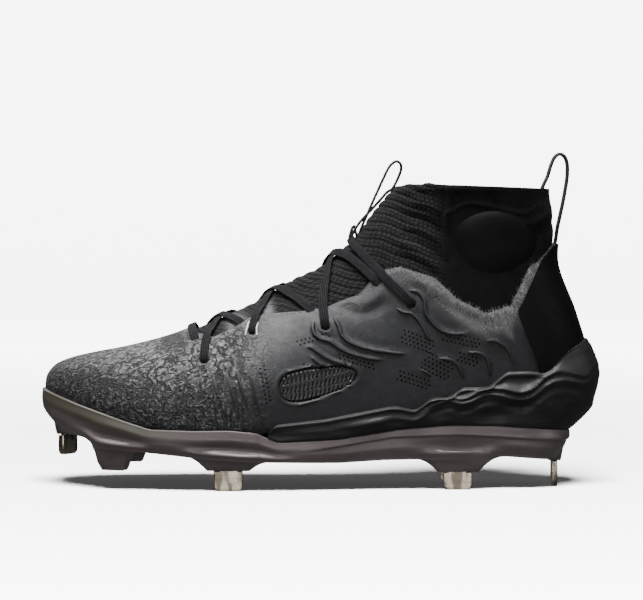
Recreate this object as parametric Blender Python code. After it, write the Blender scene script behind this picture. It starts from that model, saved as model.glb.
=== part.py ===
"""A baseball cleat, left shoe: +X to the toe, +Y outward, +Z up, standing on its blades at z = 0."""

import math

import bmesh
import bpy
import numpy as np
from mathutils import Matrix, Vector
from mathutils.bvhtree import BVHTree

MM = 0.001

# Driving sizes of the shoe
LENGTH = 300 * MM
COLLAR_HEIGHT = 162 * MM
BALL_WIDTH = 99 * MM

# Walls and clearances
UPPER_WALL = 1.6 * MM
KNIT_WALL = 2.2 * MM
PANEL_WALL = 0.8 * MM
INSOLE_THICKNESS = 4.0 * MM
GAP = 0.3 * MM
TUCK_GAP = 0.5 * MM
PANEL_GAP = 0.5 * MM
TUCK_DEPTH = 13 * MM
EYELET_RADIUS = 2.3 * MM

# Laces, loops and pads
LACE_WIDTH = 4.8 * MM
LACE_THICKNESS = 1.2 * MM
LACE_START = 0.035
LACE_STEPS = 14
LACE_ARCH = 25 * MM
LACE_RISE_SHARE = 0.22
LACE_AIM = Vector((0.7, 0.0, 0.7)) * 20 * MM
LACE_LIFT = 0.2 * MM
LACE_OVER_SHARE = 0.7
FRONT_LOOP_WIDTH = 7 * MM
FRONT_LOOP_THICKNESS = 1.2 * MM
REAR_LOOP_WIDTH = 9 * MM
REAR_LOOP_THICKNESS = 1.9 * MM
REAR_LOOP_SET_IN = 0.2 * MM
REAR_LOOP_SET_OUT = 0.8 * MM
FRONT_LOOP_SET_IN = 0.4 * MM
PAD_RISE = 3.2 * MM
PAD_EDGE_SHARE = 0.25

# Blades and lugs
BLADE_WIDTH = 15 * MM
BLADE_THICKNESS = 3 * MM
BLADE_HEIGHT = 11 * MM
BLADE_CORNER = 2.2 * MM
SHANK_WIDTH = 10 * MM
SHANK_DEPTH = 4.5 * MM
LUG_ROOT_DEPTH = 4.5 * MM
LUG_FLARE = 1.6
LUG_SQUARENESS = 0.6
SOCKET_CUT_BELOW = 2 * MM

# Mesh steps
FORM_STEPS = 1.5
ROUND_STEPS = 40
LUG_SHARES = (0.0, 0.35, 0.7, 1.0)
LUG_ROUND_STEPS = 16
PAD_RINGS = 4
PAD_ROUND_STEPS = 20
EYELET_ROUND_STEPS = 8
EYELET_CUT_WALLS = 6
REAR_LOOP_STEPS = 3
FRONT_LOOP_STEPS = 2

# Sections of the last, toe to collar. Each lies in the plane through its top and base points and the
# Y axis. x is a share of LENGTH, z of COLLAR_HEIGHT and y of BALL_WIDTH. widest is the depth of the
# widest point between top and base, and the last two columns are how square the two halves are.
# top_x, top_z, base_x, base_z, outer_y, inner_y, crest_y, widest, top_square, base_square
SECTIONS = [
    (0.4925, 0.338, 0.4925, 0.333, -0.070, -0.070, -0.070, 0.55, 2.0, 2.6),
    (0.489, 0.374, 0.489, 0.290, 0.035, -0.175, -0.070, 0.55, 2.0, 2.8),
    (0.474, 0.409, 0.473, 0.260, 0.150, -0.285, -0.070, 0.58, 2.0, 3.2),
    (0.446, 0.432, 0.443, 0.233, 0.260, -0.375, -0.070, 0.62, 2.1, 3.6),
    (0.403, 0.451, 0.400, 0.207, 0.360, -0.440, -0.065, 0.66, 2.1, 4.0),
    (0.345, 0.472, 0.340, 0.176, 0.435, -0.480, -0.060, 0.68, 2.1, 4.0),
    (0.272, 0.508, 0.266, 0.148, 0.482, -0.499, -0.060, 0.70, 2.1, 4.0),
    (0.198, 0.562, 0.186, 0.139, 0.498, -0.490, -0.055, 0.72, 2.0, 4.0),
    (0.126, 0.622, 0.093, 0.139, 0.497, -0.440, -0.050, 0.73, 2.0, 4.0),
    (0.062, 0.674, 0.000, 0.145, 0.465, -0.375, -0.040, 0.74, 2.0, 4.0),
    (0.010, 0.726, -0.100, 0.167, 0.420, -0.340, -0.030, 0.74, 2.0, 4.0),
    (-0.025, 0.786, -0.207, 0.191, 0.390, -0.335, -0.020, 0.72, 2.0, 4.0),
    (-0.050, 0.845, -0.317, 0.210, 0.375, -0.345, -0.010, 0.68, 2.0, 3.6),
    (-0.073, 0.895, -0.427, 0.228, 0.365, -0.345, 0.0, 0.63, 2.1, 3.2),
    (-0.093, 0.935, -0.471, 0.300, 0.355, -0.340, 0.0, 0.58, 2.1, 2.8),
    (-0.106, 0.962, -0.481, 0.430, 0.340, -0.330, 0.0, 0.55, 2.1, 2.6),
    (-0.116, 0.982, -0.460, 0.580, 0.325, -0.322, 0.0, 0.52, 2.2, 2.5),
    (-0.124, 0.996, -0.428, 0.740, 0.320, -0.318, 0.0, 0.50, 2.2, 2.4),
    (-0.129, 1.006, -0.429, 0.875, 0.318, -0.316, 0.0, 0.50, 2.2, 2.4),
    (-0.133, 1.014, -0.420, 0.998, 0.325, -0.322, 0.0, 0.50, 2.2, 2.4),
]
COLLAR_FIRST_SECTION = 6
UPPER_LAST_SECTION = 18
HEEL_PANEL_FIRST_SECTION = 12

# Where the sole's cross sections stand along LENGTH, and where the midsole's wedge begins
HEEL_CENTRE = -0.36
MIDSOLE_FRONT = 0.092
TOE_CENTRE = 0.35

# Lines of the side view: x as a share of LENGTH, z as a share of COLLAR_HEIGHT.
SKIN_EDGE = [
    (0.247, 0.560), (0.225, 0.520), (0.190, 0.506), (0.153, 0.540), (0.120, 0.575), (0.080, 0.585),
    (0.033, 0.592), (-0.009, 0.604), (-0.043, 0.630), (-0.067, 0.645), (-0.090, 0.692), (-0.117, 0.728),
    (-0.143, 0.738), (-0.203, 0.704), (-0.247, 0.630), (-0.297, 0.585), (-0.340, 0.611), (-0.373, 0.735),
    (-0.396, 0.762), (-0.424, 0.815), (-0.500, 0.830),
]
PLATE_TOP = [
    (0.500, 0.334), (0.430, 0.284), (0.352, 0.235), (0.302, 0.206), (0.223, 0.202), (0.162, 0.204),
    (0.113, 0.195), (0.075, 0.163), (-0.036, 0.173), (-0.143, 0.204), (-0.228, 0.216), (-0.315, 0.213),
    (-0.457, 0.194), (-0.500, 0.190),
]
FOOT_BED = [
    (0.500, 0.315), (0.467, 0.293), (0.417, 0.250), (0.350, 0.206), (0.283, 0.180), (0.200, 0.173),
    (0.150, 0.180), (0.033, 0.204), (-0.100, 0.228), (-0.267, 0.259),
    (-0.417, 0.278), (-0.500, 0.284),
]
PLATE_UNDER = [
    (0.500, 0.250), (0.475, 0.186), (0.417, 0.175), (0.398, 0.140), (0.316, 0.130), (0.258, 0.120),
    (0.200, 0.108), (0.133, 0.100), (0.040, 0.096), (-0.036, 0.094), (-0.113, 0.102), (-0.190, 0.104),
    (-0.270, 0.108), (-0.330, 0.111), (-0.420, 0.098), (-0.450, 0.110), (-0.500, 0.160),
]
WAVE_TOP = [
    (0.500, 0.193), (0.092, 0.193), (0.080, 0.222), (-0.010, 0.240), (-0.123, 0.280), (-0.138, 0.281),
    (-0.169, 0.269),
    (-0.199, 0.309), (-0.229, 0.311), (-0.253, 0.341), (-0.299, 0.344), (-0.333, 0.393), (-0.370, 0.395),
    (-0.398, 0.389), (-0.432, 0.459), (-0.473, 0.507), (-0.500, 0.515),
]
WAVE_LOW = [
    (0.500, 0.188), (0.092, 0.188), (0.080, 0.195), (-0.010, 0.212), (-0.123, 0.245), (-0.138, 0.246),
    (-0.169, 0.240),
    (-0.199, 0.268), (-0.229, 0.274), (-0.253, 0.270), (-0.299, 0.308), (-0.360, 0.296), (-0.407, 0.356),
    (-0.445, 0.366), (-0.479, 0.350), (-0.500, 0.345),
]
HEEL_PANEL_EDGE = [
    # z, x
    (0.35, -0.397), (0.43, -0.388), (0.54, -0.364), (0.59, -0.352), (0.64, -0.366), (0.74, -0.392),
    (0.83, -0.420),
]

# Eyelets of the side view, toe to ankle, the same on both sides
EYELETS = [(0.206, 0.432), (0.120, 0.525), (-0.009, 0.542), (-0.163, 0.617)]
# Where a lace that comes from the toe side slips under the throat's edge, by the same eyelets
TUCKS = [(0.222, 0.490), (0.140, 0.552), (0.012, 0.585), (-0.096, 0.655)]
# Points over which the laces cross, front bar first
CREST_BAR_FRONT = (0.232, 0.535)
CREST_LOW = (0.180, 0.575)
CREST_MID = (0.085, 0.655)
CREST_HIGH = (-0.022, 0.780)
CREST_BAR_TOP = (-0.048, 0.840)

ANKLE_PAD = {"x": -0.312, "z": 0.812, "half_length": 0.080, "half_height": 0.112}

# Moulded lugs. x and length are shares of LENGTH, y, width and the foot's size of BALL_WIDTH,
# and foot_z of COLLAR_HEIGHT.
# name, x, y, turn in degrees, top length, top width, foot length, foot width, foot_z
LUGS = [
    ("toe", 0.455, -0.050, 65, 0.042, 0.110, 0.034, 0.085, 0.172),
    ("toe_outer", 0.369, 0.290, -18, 0.085, 0.150, 0.047, 0.060, 0.065),
    ("toe_inner", 0.352, -0.350, 14, 0.085, 0.150, 0.047, 0.060, 0.065),
    ("ball_outer", 0.163, 0.395, -3, 0.150, 0.165, 0.076, 0.080, 0.068),
    ("ball_inner", 0.172, -0.385, 4, 0.150, 0.165, 0.076, 0.080, 0.068),
    ("heel_outer", -0.246, 0.285, 3, 0.150, 0.160, 0.074, 0.080, 0.060),
    ("heel_inner", -0.246, -0.265, -3, 0.150, 0.160, 0.074, 0.080, 0.060),
    ("heel_rear", -0.424, 0.0, 90, 0.078, 0.110, 0.062, 0.070, 0.088),
]
# blade name, its lug, and whether it stands on the floor
BLADES = [
    ("blade_toe", "toe", False),
    ("blade_ball_lateral", "ball_outer", True),
    ("blade_ball_medial", "ball_inner", True),
    ("blade_heel_lateral", "heel_outer", True),
    ("blade_heel_medial", "heel_inner", True),
    ("blade_heel_rear", "heel_rear", True),
]

# Shape of the sole's sides: how far each edge stands out from the upper
PLATE_RIM = 1.4 * MM
PLATE_BULGE = 2.2 * MM
PLATE_STEP = 0.9 * MM
PLATE_STEP_DROP = 3.5 * MM
CUP_INSET = 3.4 * MM
BED_INSET = 6.0 * MM
UNDER_INSET = 7.0 * MM
WALL_GAP = 0.6 * MM
WALL_FOOT = 0.7 * MM
WALL_LIP = 2.2 * MM
WALL_BULGE = 5.2 * MM
HEEL_BULGE = 4.5 * MM
HEEL_TUCK = 5.0 * MM
HEEL_TUCK_STEP = 1.2
HEEL_TUCK_WAIST = 1.5
HEEL_TUCK_UNDER = 0.7
STEP_DROP_SHARE = 1.4
WAIST_SHARE = 0.65
INSOLE_SIDE_INSET = 1.3 * MM
FOOT_LINE_LIFT = 1.0 * MM
LIP_DROP = 0.1 * MM
LIP_SHARE = 0.6
SWELL_REACH = 0.2

# The midsole's wall below its lip: how far down from WAVE_TOP to WAVE_LOW, and how many lips out
LIP_ROWS = [(0.2, 1.0), (0.75, 1.3)]
# And from WAVE_LOW down to the plate, with the share of the full bulge
BULGE_ROWS = [(0.0, 1.0), (0.2, 0.8), (0.55, 0.9)]

# The loops' free bends in the side view: x as a share of LENGTH, z of COLLAR_HEIGHT
REAR_LOOP_BEND = [
    (-0.411, 1.065), (-0.421, 1.105), (-0.431, 1.114), (-0.442, 1.103), (-0.446, 1.065), (-0.441, 0.985),
]
FRONT_LOOP_BEND = [
    (-0.1405, 1.030), (-0.1465, 1.066), (-0.1440, 1.086), (-0.1375, 1.090), (-0.1230, 1.070),
    (-0.1000, 0.965), (-0.0725, 0.894),
]
# Heights on the heel, inside and outside the knit, and section numbers up the front, that a loop follows
REAR_LOOP_INSIDE = (0.92, 0.985)
REAR_LOOP_OUTSIDE = (0.91, 0.87, 0.835)
FRONT_LOOP_SECTIONS = (12.6, 13.4, 14.4, 15.6, 17.0)
HEEL_TOP_SHARE = 0.985

# Colours, roughness and metallic of each material
MATERIALS = {
    "moulded_skin": ((0.045, 0.047, 0.052), 0.55, 0.0),
    "knit": ((0.012, 0.012, 0.013), 0.9, 0.0),
    "padding": ((0.010, 0.010, 0.011), 0.75, 0.0),
    "heel_film": ((0.008, 0.008, 0.009), 0.6, 0.0),
    "foam": ((0.013, 0.013, 0.014), 0.5, 0.0),
    "plate_plastic": ((0.105, 0.092, 0.090), 0.35, 0.0),
    "insole_foam": ((0.02, 0.02, 0.022), 0.85, 0.0),
    "blade_metal": ((0.72, 0.64, 0.52), 0.28, 1.0),
    "lace_weave": ((0.030, 0.030, 0.034), 0.85, 0.0),
    "webbing": ((0.010, 0.010, 0.011), 0.8, 0.0),
}


def clear_scene():
    for obj in list(bpy.data.objects):
        bpy.data.objects.remove(obj, do_unlink=True)


def material(name):
    made = bpy.data.materials.get(name)
    if made:
        return made
    colour, roughness, metallic = MATERIALS[name]
    made = bpy.data.materials.new(name)
    made.use_nodes = True
    shader = made.node_tree.nodes["Principled BSDF"]
    shader.inputs["Base Color"].default_value = (*colour, 1.0)
    shader.inputs["Roughness"].default_value = roughness
    shader.inputs["Metallic"].default_value = metallic
    made.diffuse_color = (*colour, 1.0)
    return made


def line(table, x):
    """z of a side-view line at x, both in metres."""
    xs = [row[0] * LENGTH for row in table][::-1]
    zs = [row[1] * COLLAR_HEIGHT for row in table][::-1]
    return float(np.interp(x, xs, zs))


def seat_level(x):
    """What the upper's lower edge stands on: the plate's rim in front, the midsole's bed behind."""
    return max(line(PLATE_TOP, x), line(FOOT_BED, x))


def section_at(u):
    """The section table at row number u, rounded between its rows."""
    last = len(SECTIONS) - 1
    i = min(max(int(math.floor(u)), 0), last - 1)
    t = u - i
    rows = [np.array(SECTIONS[min(max(i + k, 0), last)]) for k in (-1, 0, 1, 2)]
    slope_a = (rows[2] - rows[0]) / 2
    slope_b = (rows[3] - rows[1]) / 2
    if i == 0:
        slope_a = rows[2] - rows[1]
    if i == last - 1:
        slope_b = rows[2] - rows[1]
    h00 = 2 * t**3 - 3 * t**2 + 1
    h10 = t**3 - 2 * t**2 + t
    h01 = -2 * t**3 + 3 * t**2
    h11 = t**3 - t**2
    return h00 * rows[1] + h10 * slope_a + h01 * rows[2] + h11 * slope_b


def form_point(u, angle):
    """A point of the last's surface: angle 0 on the crest, positive to the outer side, pi at the base."""
    tx, tz, bx, bz, outer, inner, crest, widest, top_square, base_square = section_at(u)
    turn = abs(angle)
    side = 1.0 if angle >= 0 else -1.0
    sine = max(math.sin(turn), 0.0)
    cosine = math.cos(turn)
    if cosine >= 0:
        across = sine ** (2 / top_square)
        down = widest * (1 - cosine ** (2 / top_square))
    else:
        across = sine ** (2 / base_square)
        down = widest + (1 - widest) * (-cosine) ** (2 / base_square)
    reach_y = (outer - crest) if side > 0 else (crest - inner)
    x = (tx + (bx - tx) * down) * LENGTH
    z = (tz + (bz - tz) * down) * COLLAR_HEIGHT
    y = (crest + side * reach_y * across) * BALL_WIDTH
    return Vector((x, y, z))


def form_normal(u, angle):
    last = len(SECTIONS) - 1
    u = min(max(u, 0.12), last)
    step_u = 0.04
    step_a = 0.04
    along = form_point(min(u + step_u, last), angle) - form_point(u - step_u, angle)
    around = form_point(u, angle + step_a) - form_point(u, angle - step_a)
    normal = around.cross(along)
    return normal.normalized()


def form_sheet(first, last, steps, rounds, lift=0.0):
    """The last's surface from section number first to last, moved out by lift, as an open bmesh."""
    bm = bmesh.new()
    places = [first + i / steps for i in range(int((last - first) * steps + 1e-6) + 1)]
    if last - places[-1] > 1e-6:
        places.append(last)
    rows = []
    for u in places:
        row = []
        for j in range(rounds):
            angle = -math.pi + 2 * math.pi * j / rounds
            point = form_point(u, angle)
            if lift:
                point = point + form_normal(u, angle) * lift
            row.append(bm.verts.new(point))
        rows.append(row)
    for i in range(len(rows) - 1):
        for j in range(rounds):
            k = (j + 1) % rounds
            bm.faces.new((rows[i][j], rows[i][k], rows[i + 1][k], rows[i + 1][j]))
    bmesh.ops.remove_doubles(bm, verts=bm.verts, dist=0.02 * MM)
    return bm


def trim(bm, field, snap=0.28):
    """Cuts the sheet along field = 0 and keeps the side where field is positive."""
    value = {v: field(v.co) for v in bm.verts}
    moves = {}
    for edge in bm.edges:
        a, b = edge.verts
        if value[a] * value[b] >= 0:
            continue
        t = value[a] / (value[a] - value[b])
        for vert, other, share in ((a, b, t), (b, a, 1 - t)):
            if share < snap and share < moves.get(vert, (1.0, None))[0]:
                moves[vert] = (share, vert.co.lerp(other.co, share))
    for vert, (_, place) in moves.items():
        vert.co = place
        value[vert] = 0.0
    for edge in list(bm.edges):
        a, b = edge.verts
        if value[a] * value[b] >= 0:
            continue
        t = value[a] / (value[a] - value[b])
        _, vert = bmesh.utils.edge_split(edge, a, t)
        value[vert] = 0.0
    for face in list(bm.faces):
        signs = [value[v] for v in face.verts]
        if min(signs) >= 0 or max(signs) <= 0:
            continue
        zeros = [v for v in face.verts if value[v] == 0.0]
        if len(zeros) >= 2:
            bmesh.utils.face_split(face, zeros[0], zeros[-1])
    dropped = [
        f for f in bm.faces
        if min(value[v] for v in f.verts) < 0 or max(value[v] for v in f.verts) <= 0
    ]
    bmesh.ops.delete(bm, geom=dropped, context="FACES")
    loose = [v for v in bm.verts if not v.link_faces]
    bmesh.ops.delete(bm, geom=loose, context="VERTS")


def thicken(bm, wall):
    """Closes an open sheet into a wall that lies on its inner side."""
    bmesh.ops.recalc_face_normals(bm, faces=bm.faces)
    bm.normal_update()
    outer = list(bm.verts)
    inner = {v: bm.verts.new(v.co - v.normal * wall) for v in outer}
    faces = list(bm.faces)
    rims = [e for e in bm.edges if len(e.link_faces) == 1]
    rim_loops = []
    for edge in rims:
        loop = edge.link_loops[0]
        rim_loops.append((loop.vert, loop.link_loop_next.vert))
    for face in faces:
        bm.faces.new([inner[v] for v in reversed(face.verts)])
    for a, b in rim_loops:
        bm.faces.new((b, a, inner[a], inner[b]))


def add_object(name, bm, slot, angle=35.0):
    """Makes the bmesh into a named object with outward faces."""
    bm.normal_update()
    bmesh.ops.triangulate(bm, faces=bm.faces, ngon_method="EAR_CLIP")
    bmesh.ops.recalc_face_normals(bm, faces=bm.faces)
    mesh = bpy.data.meshes.new(name)
    bm.to_mesh(mesh)
    bm.free()
    mesh.materials.append(material(slot))
    mesh.shade_smooth()
    mesh.set_sharp_from_angle(angle=math.radians(angle))
    obj = bpy.data.objects.new(name, mesh)
    bpy.context.scene.collection.objects.link(obj)
    return obj


def cut(obj, cutter, operation="DIFFERENCE"):
    """Applies a Boolean with the cutter and removes the cutter."""
    modifier = obj.modifiers.new("cut", "BOOLEAN")
    modifier.operation = operation
    modifier.solver = "EXACT"
    modifier.object = cutter
    bpy.context.view_layer.update()
    graph = bpy.context.evaluated_depsgraph_get()
    mesh = bpy.data.meshes.new_from_object(obj.evaluated_get(graph))
    obj.modifiers.remove(modifier)
    old = obj.data
    obj.data = mesh
    mesh.name = old.name
    bpy.data.meshes.remove(old)
    bpy.data.objects.remove(cutter, do_unlink=True)


class Last:
    """The last's surface, asked by rays."""

    def __init__(self):
        bm = form_sheet(0, len(SECTIONS) - 1, 6, 96)
        self.tree = BVHTree.FromBMesh(bm)
        bm.free()

    def hit(self, origin, direction):
        place, normal, _, _ = self.tree.ray_cast(origin, direction)
        if place is None:
            return None, None
        if normal.dot(direction) < 0:
            normal = -normal
        return place, normal

    def side(self, x, z, side):
        """The surface at x and z of the side view, on the outer side (1) or the inner side (-1)."""
        return self.hit(Vector((x, -0.02 * BALL_WIDTH, z)), Vector((0, side, 0)))

    def heel_x(self, z):
        return self.hit(Vector((-0.25 * LENGTH, 0, z)), Vector((-1, 0, 0)))[0].x


def stations(whole, fan=7, rear_steps=12, front_steps=7):
    """Rays from the middle line out to the outer side, heel to toe, as (x of the start, angle).

    The midsole's stop at its front wedge. Those of the whole sole go on round the toe."""
    quarter = math.pi / 2
    rays = [(HEEL_CENTRE * LENGTH, math.pi - (i + 0.5) * quarter / fan) for i in range(fan)]
    for i in range(rear_steps + 1):
        share = i / rear_steps
        rays.append(((HEEL_CENTRE + (MIDSOLE_FRONT - HEEL_CENTRE) * share) * LENGTH, quarter))
    if not whole:
        return rays
    for i in range(1, front_steps + 1):
        share = i / front_steps
        rays.append(((MIDSOLE_FRONT + (TOE_CENTRE - MIDSOLE_FRONT) * share) * LENGTH, quarter))
    rays += [(TOE_CENTRE * LENGTH, quarter - (i + 0.5) * quarter / fan) for i in range(fan)]
    return rays


def middle_y(x):
    """The sole's middle line: it turns a little inward at the toe."""
    return float(np.interp(x, (0.0, 0.4 * LENGTH), (0.0, -0.06 * BALL_WIDTH)))


class Outline:
    """The upper's foot line seen from above, as rays that the sole's loops follow."""

    def __init__(self, last, rays):
        self.last = last
        self.rays = []
        both = [(x, a) for x, a in rays] + [(x, -a) for x, a in reversed(rays)]
        for x, angle in both:
            start = Vector((x, middle_y(x), 0))
            way = Vector((math.cos(angle), math.sin(angle), 0))
            place = start
            for _ in range(3):
                level = seat_level(place.x) + FOOT_LINE_LIFT
                found, _ = last.hit(Vector((start.x, start.y, level)), way)
                place = found
            self.rays.append((start, way, place))

    def loop(self, out, height):
        """A loop at out(x, way) beyond the foot line and at height(x)."""
        points = []
        for start, way, place in self.rays:
            foot = Vector((place.x, place.y, 0)) + way * out(place.x, way)
            points.append(Vector((foot.x, foot.y, height(place.x))))
        return points

    def wall(self, out, height):
        """A loop that follows the upper's own surface at its height."""
        points = []
        for start, way, place in self.rays:
            level = height(place.x)
            found, _ = self.last.hit(Vector((start.x, start.y, level)), way)
            foot = found + way * out(place.x, way)
            points.append(Vector((foot.x, foot.y, level)))
        return points


def loops_body(loops):
    """A closed body from loops of equal count, its first and last loop closed by rungs across."""
    bm = bmesh.new()
    rows = [[bm.verts.new(p) for p in points] for points in loops]
    count = len(rows[0])
    for low, high in zip(rows, rows[1:]):
        for j in range(count):
            k = (j + 1) % count
            bm.faces.new((low[j], low[k], high[k], high[j]))
    for row in (rows[0], rows[-1]):
        for j in range(count // 2 - 1):
            bm.faces.new((row[j], row[j + 1], row[count - 2 - j], row[count - 1 - j]))
    return bm


def make_upper(last):
    bm = form_sheet(0, UPPER_LAST_SECTION, FORM_STEPS, ROUND_STEPS)
    trim(bm, lambda p: line(SKIN_EDGE, p.x) - p.z)
    trim(bm, lambda p: p.z - seat_level(p.x) - GAP)
    thicken(bm, UPPER_WALL)
    upper = add_object("upper", bm, "moulded_skin")
    cutters = bmesh.new()
    for x, z in EYELETS:
        for side in (1, -1):
            place, normal = last.side(x * LENGTH, z * COLLAR_HEIGHT, side)
            turn = normal.to_track_quat("Z", "Y").to_matrix().to_4x4()
            bmesh.ops.create_cone(
                cutters, cap_ends=True, segments=EYELET_ROUND_STEPS, radius1=EYELET_RADIUS,
                radius2=EYELET_RADIUS, depth=EYELET_CUT_WALLS * UPPER_WALL,
                matrix=Matrix.Translation(place) @ turn,
            )
    cut(upper, add_object("eyelet_cutters", cutters, "moulded_skin"))
    return upper


def make_collar():
    """The knit sleeve, whose front runs down under the skin as the tongue."""
    depth = UPPER_WALL + TUCK_GAP
    bm = form_sheet(COLLAR_FIRST_SECTION, len(SECTIONS) - 1, FORM_STEPS, ROUND_STEPS, -depth)
    trim(bm, lambda p: p.z - line(SKIN_EDGE, p.x) + TUCK_DEPTH)
    thicken(bm, KNIT_WALL)
    return add_object("collar", bm, "knit")


def make_heel_panel():
    lift = PANEL_GAP + PANEL_WALL
    bm = form_sheet(HEEL_PANEL_FIRST_SECTION, UPPER_LAST_SECTION, FORM_STEPS, ROUND_STEPS, lift)

    def before_edge(p):
        zs = [row[0] * COLLAR_HEIGHT for row in HEEL_PANEL_EDGE]
        xs = [row[1] * LENGTH for row in HEEL_PANEL_EDGE]
        return float(np.interp(p.z, zs, xs)) - p.x

    trim(bm, before_edge)
    trim(bm, lambda p: p.z - line(WAVE_TOP, p.x) - 2 * GAP)
    trim(bm, lambda p: line(SKIN_EDGE, p.x) - p.z - 2 * GAP)
    thicken(bm, PANEL_WALL)
    return add_object("heel_panel", bm, "heel_film")


def make_ankle_pad(last, name, side):
    """A low domed pad, laid on the knit by rays across the shoe."""
    bm = bmesh.new()
    seat = UPPER_WALL + TUCK_GAP - 2 * GAP
    rings = PAD_RINGS
    around = PAD_ROUND_STEPS
    base = []
    dome = []
    for i in range(rings + 1):
        share = i / rings
        for table, rise in ((base, 0.0), (dome, PAD_RISE * (1 - share**3) + PAD_EDGE_SHARE * PAD_RISE)):
            row = []
            for j in range(around if i else 1):
                angle = 2 * math.pi * j / around
                x = (ANKLE_PAD["x"] + ANKLE_PAD["half_length"] * share * math.cos(angle)) * LENGTH
                z = (ANKLE_PAD["z"] + ANKLE_PAD["half_height"] * share * math.sin(angle)) * COLLAR_HEIGHT
                place, normal = last.side(x, z, side)
                row.append(bm.verts.new(place + normal * (rise - seat)))
            table.append(row)
    for table in (base, dome):
        for j in range(around):
            k = (j + 1) % around
            bm.faces.new((table[0][0], table[1][j], table[1][k]))
            for inner, outer in zip(table[1:], table[2:]):
                bm.faces.new((inner[j], outer[j], outer[k], inner[k]))
    for j in range(around):
        k = (j + 1) % around
        bm.faces.new((base[-1][j], base[-1][k], dome[-1][k], dome[-1][j]))
    return add_object(name, bm, "padding")


def make_midsole(last):
    outline = Outline(last, stations(whole=False))

    def bed(x):
        return line(FOOT_BED, x)

    def top(x):
        return line(WAVE_TOP, x)

    def low(x):
        return line(WAVE_LOW, x)

    def floor(x):
        return line(PLATE_TOP, x) + GAP

    def swell(x):
        """Grows from the front wedge to the full side wall."""
        return float(np.clip((MIDSOLE_FRONT - x / LENGTH) / SWELL_REACH, 0.0, 1.0))

    def back(way):
        return max(-way.x, 0.0) ** 2

    def side(x, way, share):
        return WALL_LIP + (WALL_BULGE - WALL_LIP) * swell(x) * share + HEEL_BULGE * back(way)

    loops = [
        outline.loop(lambda x, w: -BED_INSET, bed),
        outline.wall(lambda x, w: WALL_GAP + WALL_FOOT, bed),
        outline.wall(lambda x, w: WALL_GAP + WALL_FOOT, lambda x: (2 * bed(x) + top(x)) / 3),
        outline.wall(lambda x, w: WALL_GAP, lambda x: (bed(x) + 2 * top(x)) / 3),
        outline.wall(lambda x, w: WALL_GAP, top),
        outline.wall(lambda x, w: WALL_GAP + LIP_SHARE * WALL_LIP, lambda x: top(x) - LIP_DROP),
    ]
    for down, lips in LIP_ROWS:
        loops.append(outline.wall(
            lambda x, w, lips=lips: lips * WALL_LIP,
            lambda x, down=down: (1 - down) * top(x) + down * low(x),
        ))
    for down, share in BULGE_ROWS:
        loops.append(outline.loop(
            lambda x, w, share=share: side(x, w, share),
            lambda x, down=down: (1 - down) * low(x) + down * floor(x),
        ))
    loops.append(outline.loop(lambda x, w: PLATE_RIM - (HEEL_TUCK + PLATE_RIM) * back(w), floor))
    return add_object("midsole", loops_body(loops), "foam")


def make_insole(last):
    outline = Outline(last, stations(whole=True))

    def top(x):
        return line(FOOT_BED, x) + INSOLE_THICKNESS

    loops = [
        outline.loop(lambda x, w: -BED_INSET - 2 * GAP, lambda x: line(FOOT_BED, x) + GAP),
        outline.loop(lambda x, w: -CUP_INSET - INSOLE_SIDE_INSET, top),
        outline.loop(lambda x, w: -BED_INSET, lambda x: top(x) + GAP),
    ]
    return add_object("insole", loops_body(loops), "insole_foam")


def make_lug(row):
    """One lug: a tapering post of rounded oblongs, from inside the plate down to its foot."""
    name, x, y, turn, top_length, top_width, foot_length, foot_width, foot_z = row
    x *= LENGTH
    y *= BALL_WIDTH
    foot = foot_z * COLLAR_HEIGHT
    root = line(PLATE_UNDER, x) + LUG_ROOT_DEPTH
    bm = bmesh.new()
    around = LUG_ROUND_STEPS
    rows = []
    for share in LUG_SHARES:
        flare = (1 - share) ** LUG_FLARE
        half_length = (foot_length + (top_length - foot_length) * flare) * LENGTH / 2
        half_width = (foot_width + (top_width - foot_width) * flare) * BALL_WIDTH / 2
        ring = []
        for j in range(around):
            angle = 2 * math.pi * (j + 0.5) / around
            cosine = math.cos(angle)
            sine = math.sin(angle)
            along = math.copysign(abs(cosine) ** LUG_SQUARENESS, cosine) * half_length
            across = math.copysign(abs(sine) ** LUG_SQUARENESS, sine) * half_width
            spin = math.radians(turn)
            px = x + along * math.cos(spin) - across * math.sin(spin)
            py = y + along * math.sin(spin) + across * math.cos(spin)
            ring.append(bm.verts.new((px, py, root + (foot - root) * share)))
        rows.append(ring)
    for high, low in zip(rows, rows[1:]):
        for j in range(around):
            k = (j + 1) % around
            bm.faces.new((high[j], high[k], low[k], low[j]))
    bm.faces.new(rows[0])
    bm.faces.new(rows[-1])
    return add_object("lug_" + name, bm, "plate_plastic")


def blade_place(lug_name):
    row = next(r for r in LUGS if r[0] == lug_name)
    _, x, y, turn, *_, foot_z = row
    spot = Vector((x * LENGTH, y * BALL_WIDTH, foot_z * COLLAR_HEIGHT))
    return Matrix.Translation(spot) @ Matrix.Rotation(math.radians(turn), 4, "Z")


def box(bm, half_x, half_y, low, high, matrix):
    corners = [(sx * half_x, sy * half_y) for sx, sy in ((-1, -1), (1, -1), (1, 1), (-1, 1))]
    below = [bm.verts.new(matrix @ Vector((cx, cy, low))) for cx, cy in corners]
    above = [bm.verts.new(matrix @ Vector((cx, cy, high))) for cx, cy in corners]
    for j in range(4):
        k = (j + 1) % 4
        bm.faces.new((below[j], below[k], above[k], above[j]))
    bm.faces.new(below[::-1])
    bm.faces.new(above)


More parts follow.
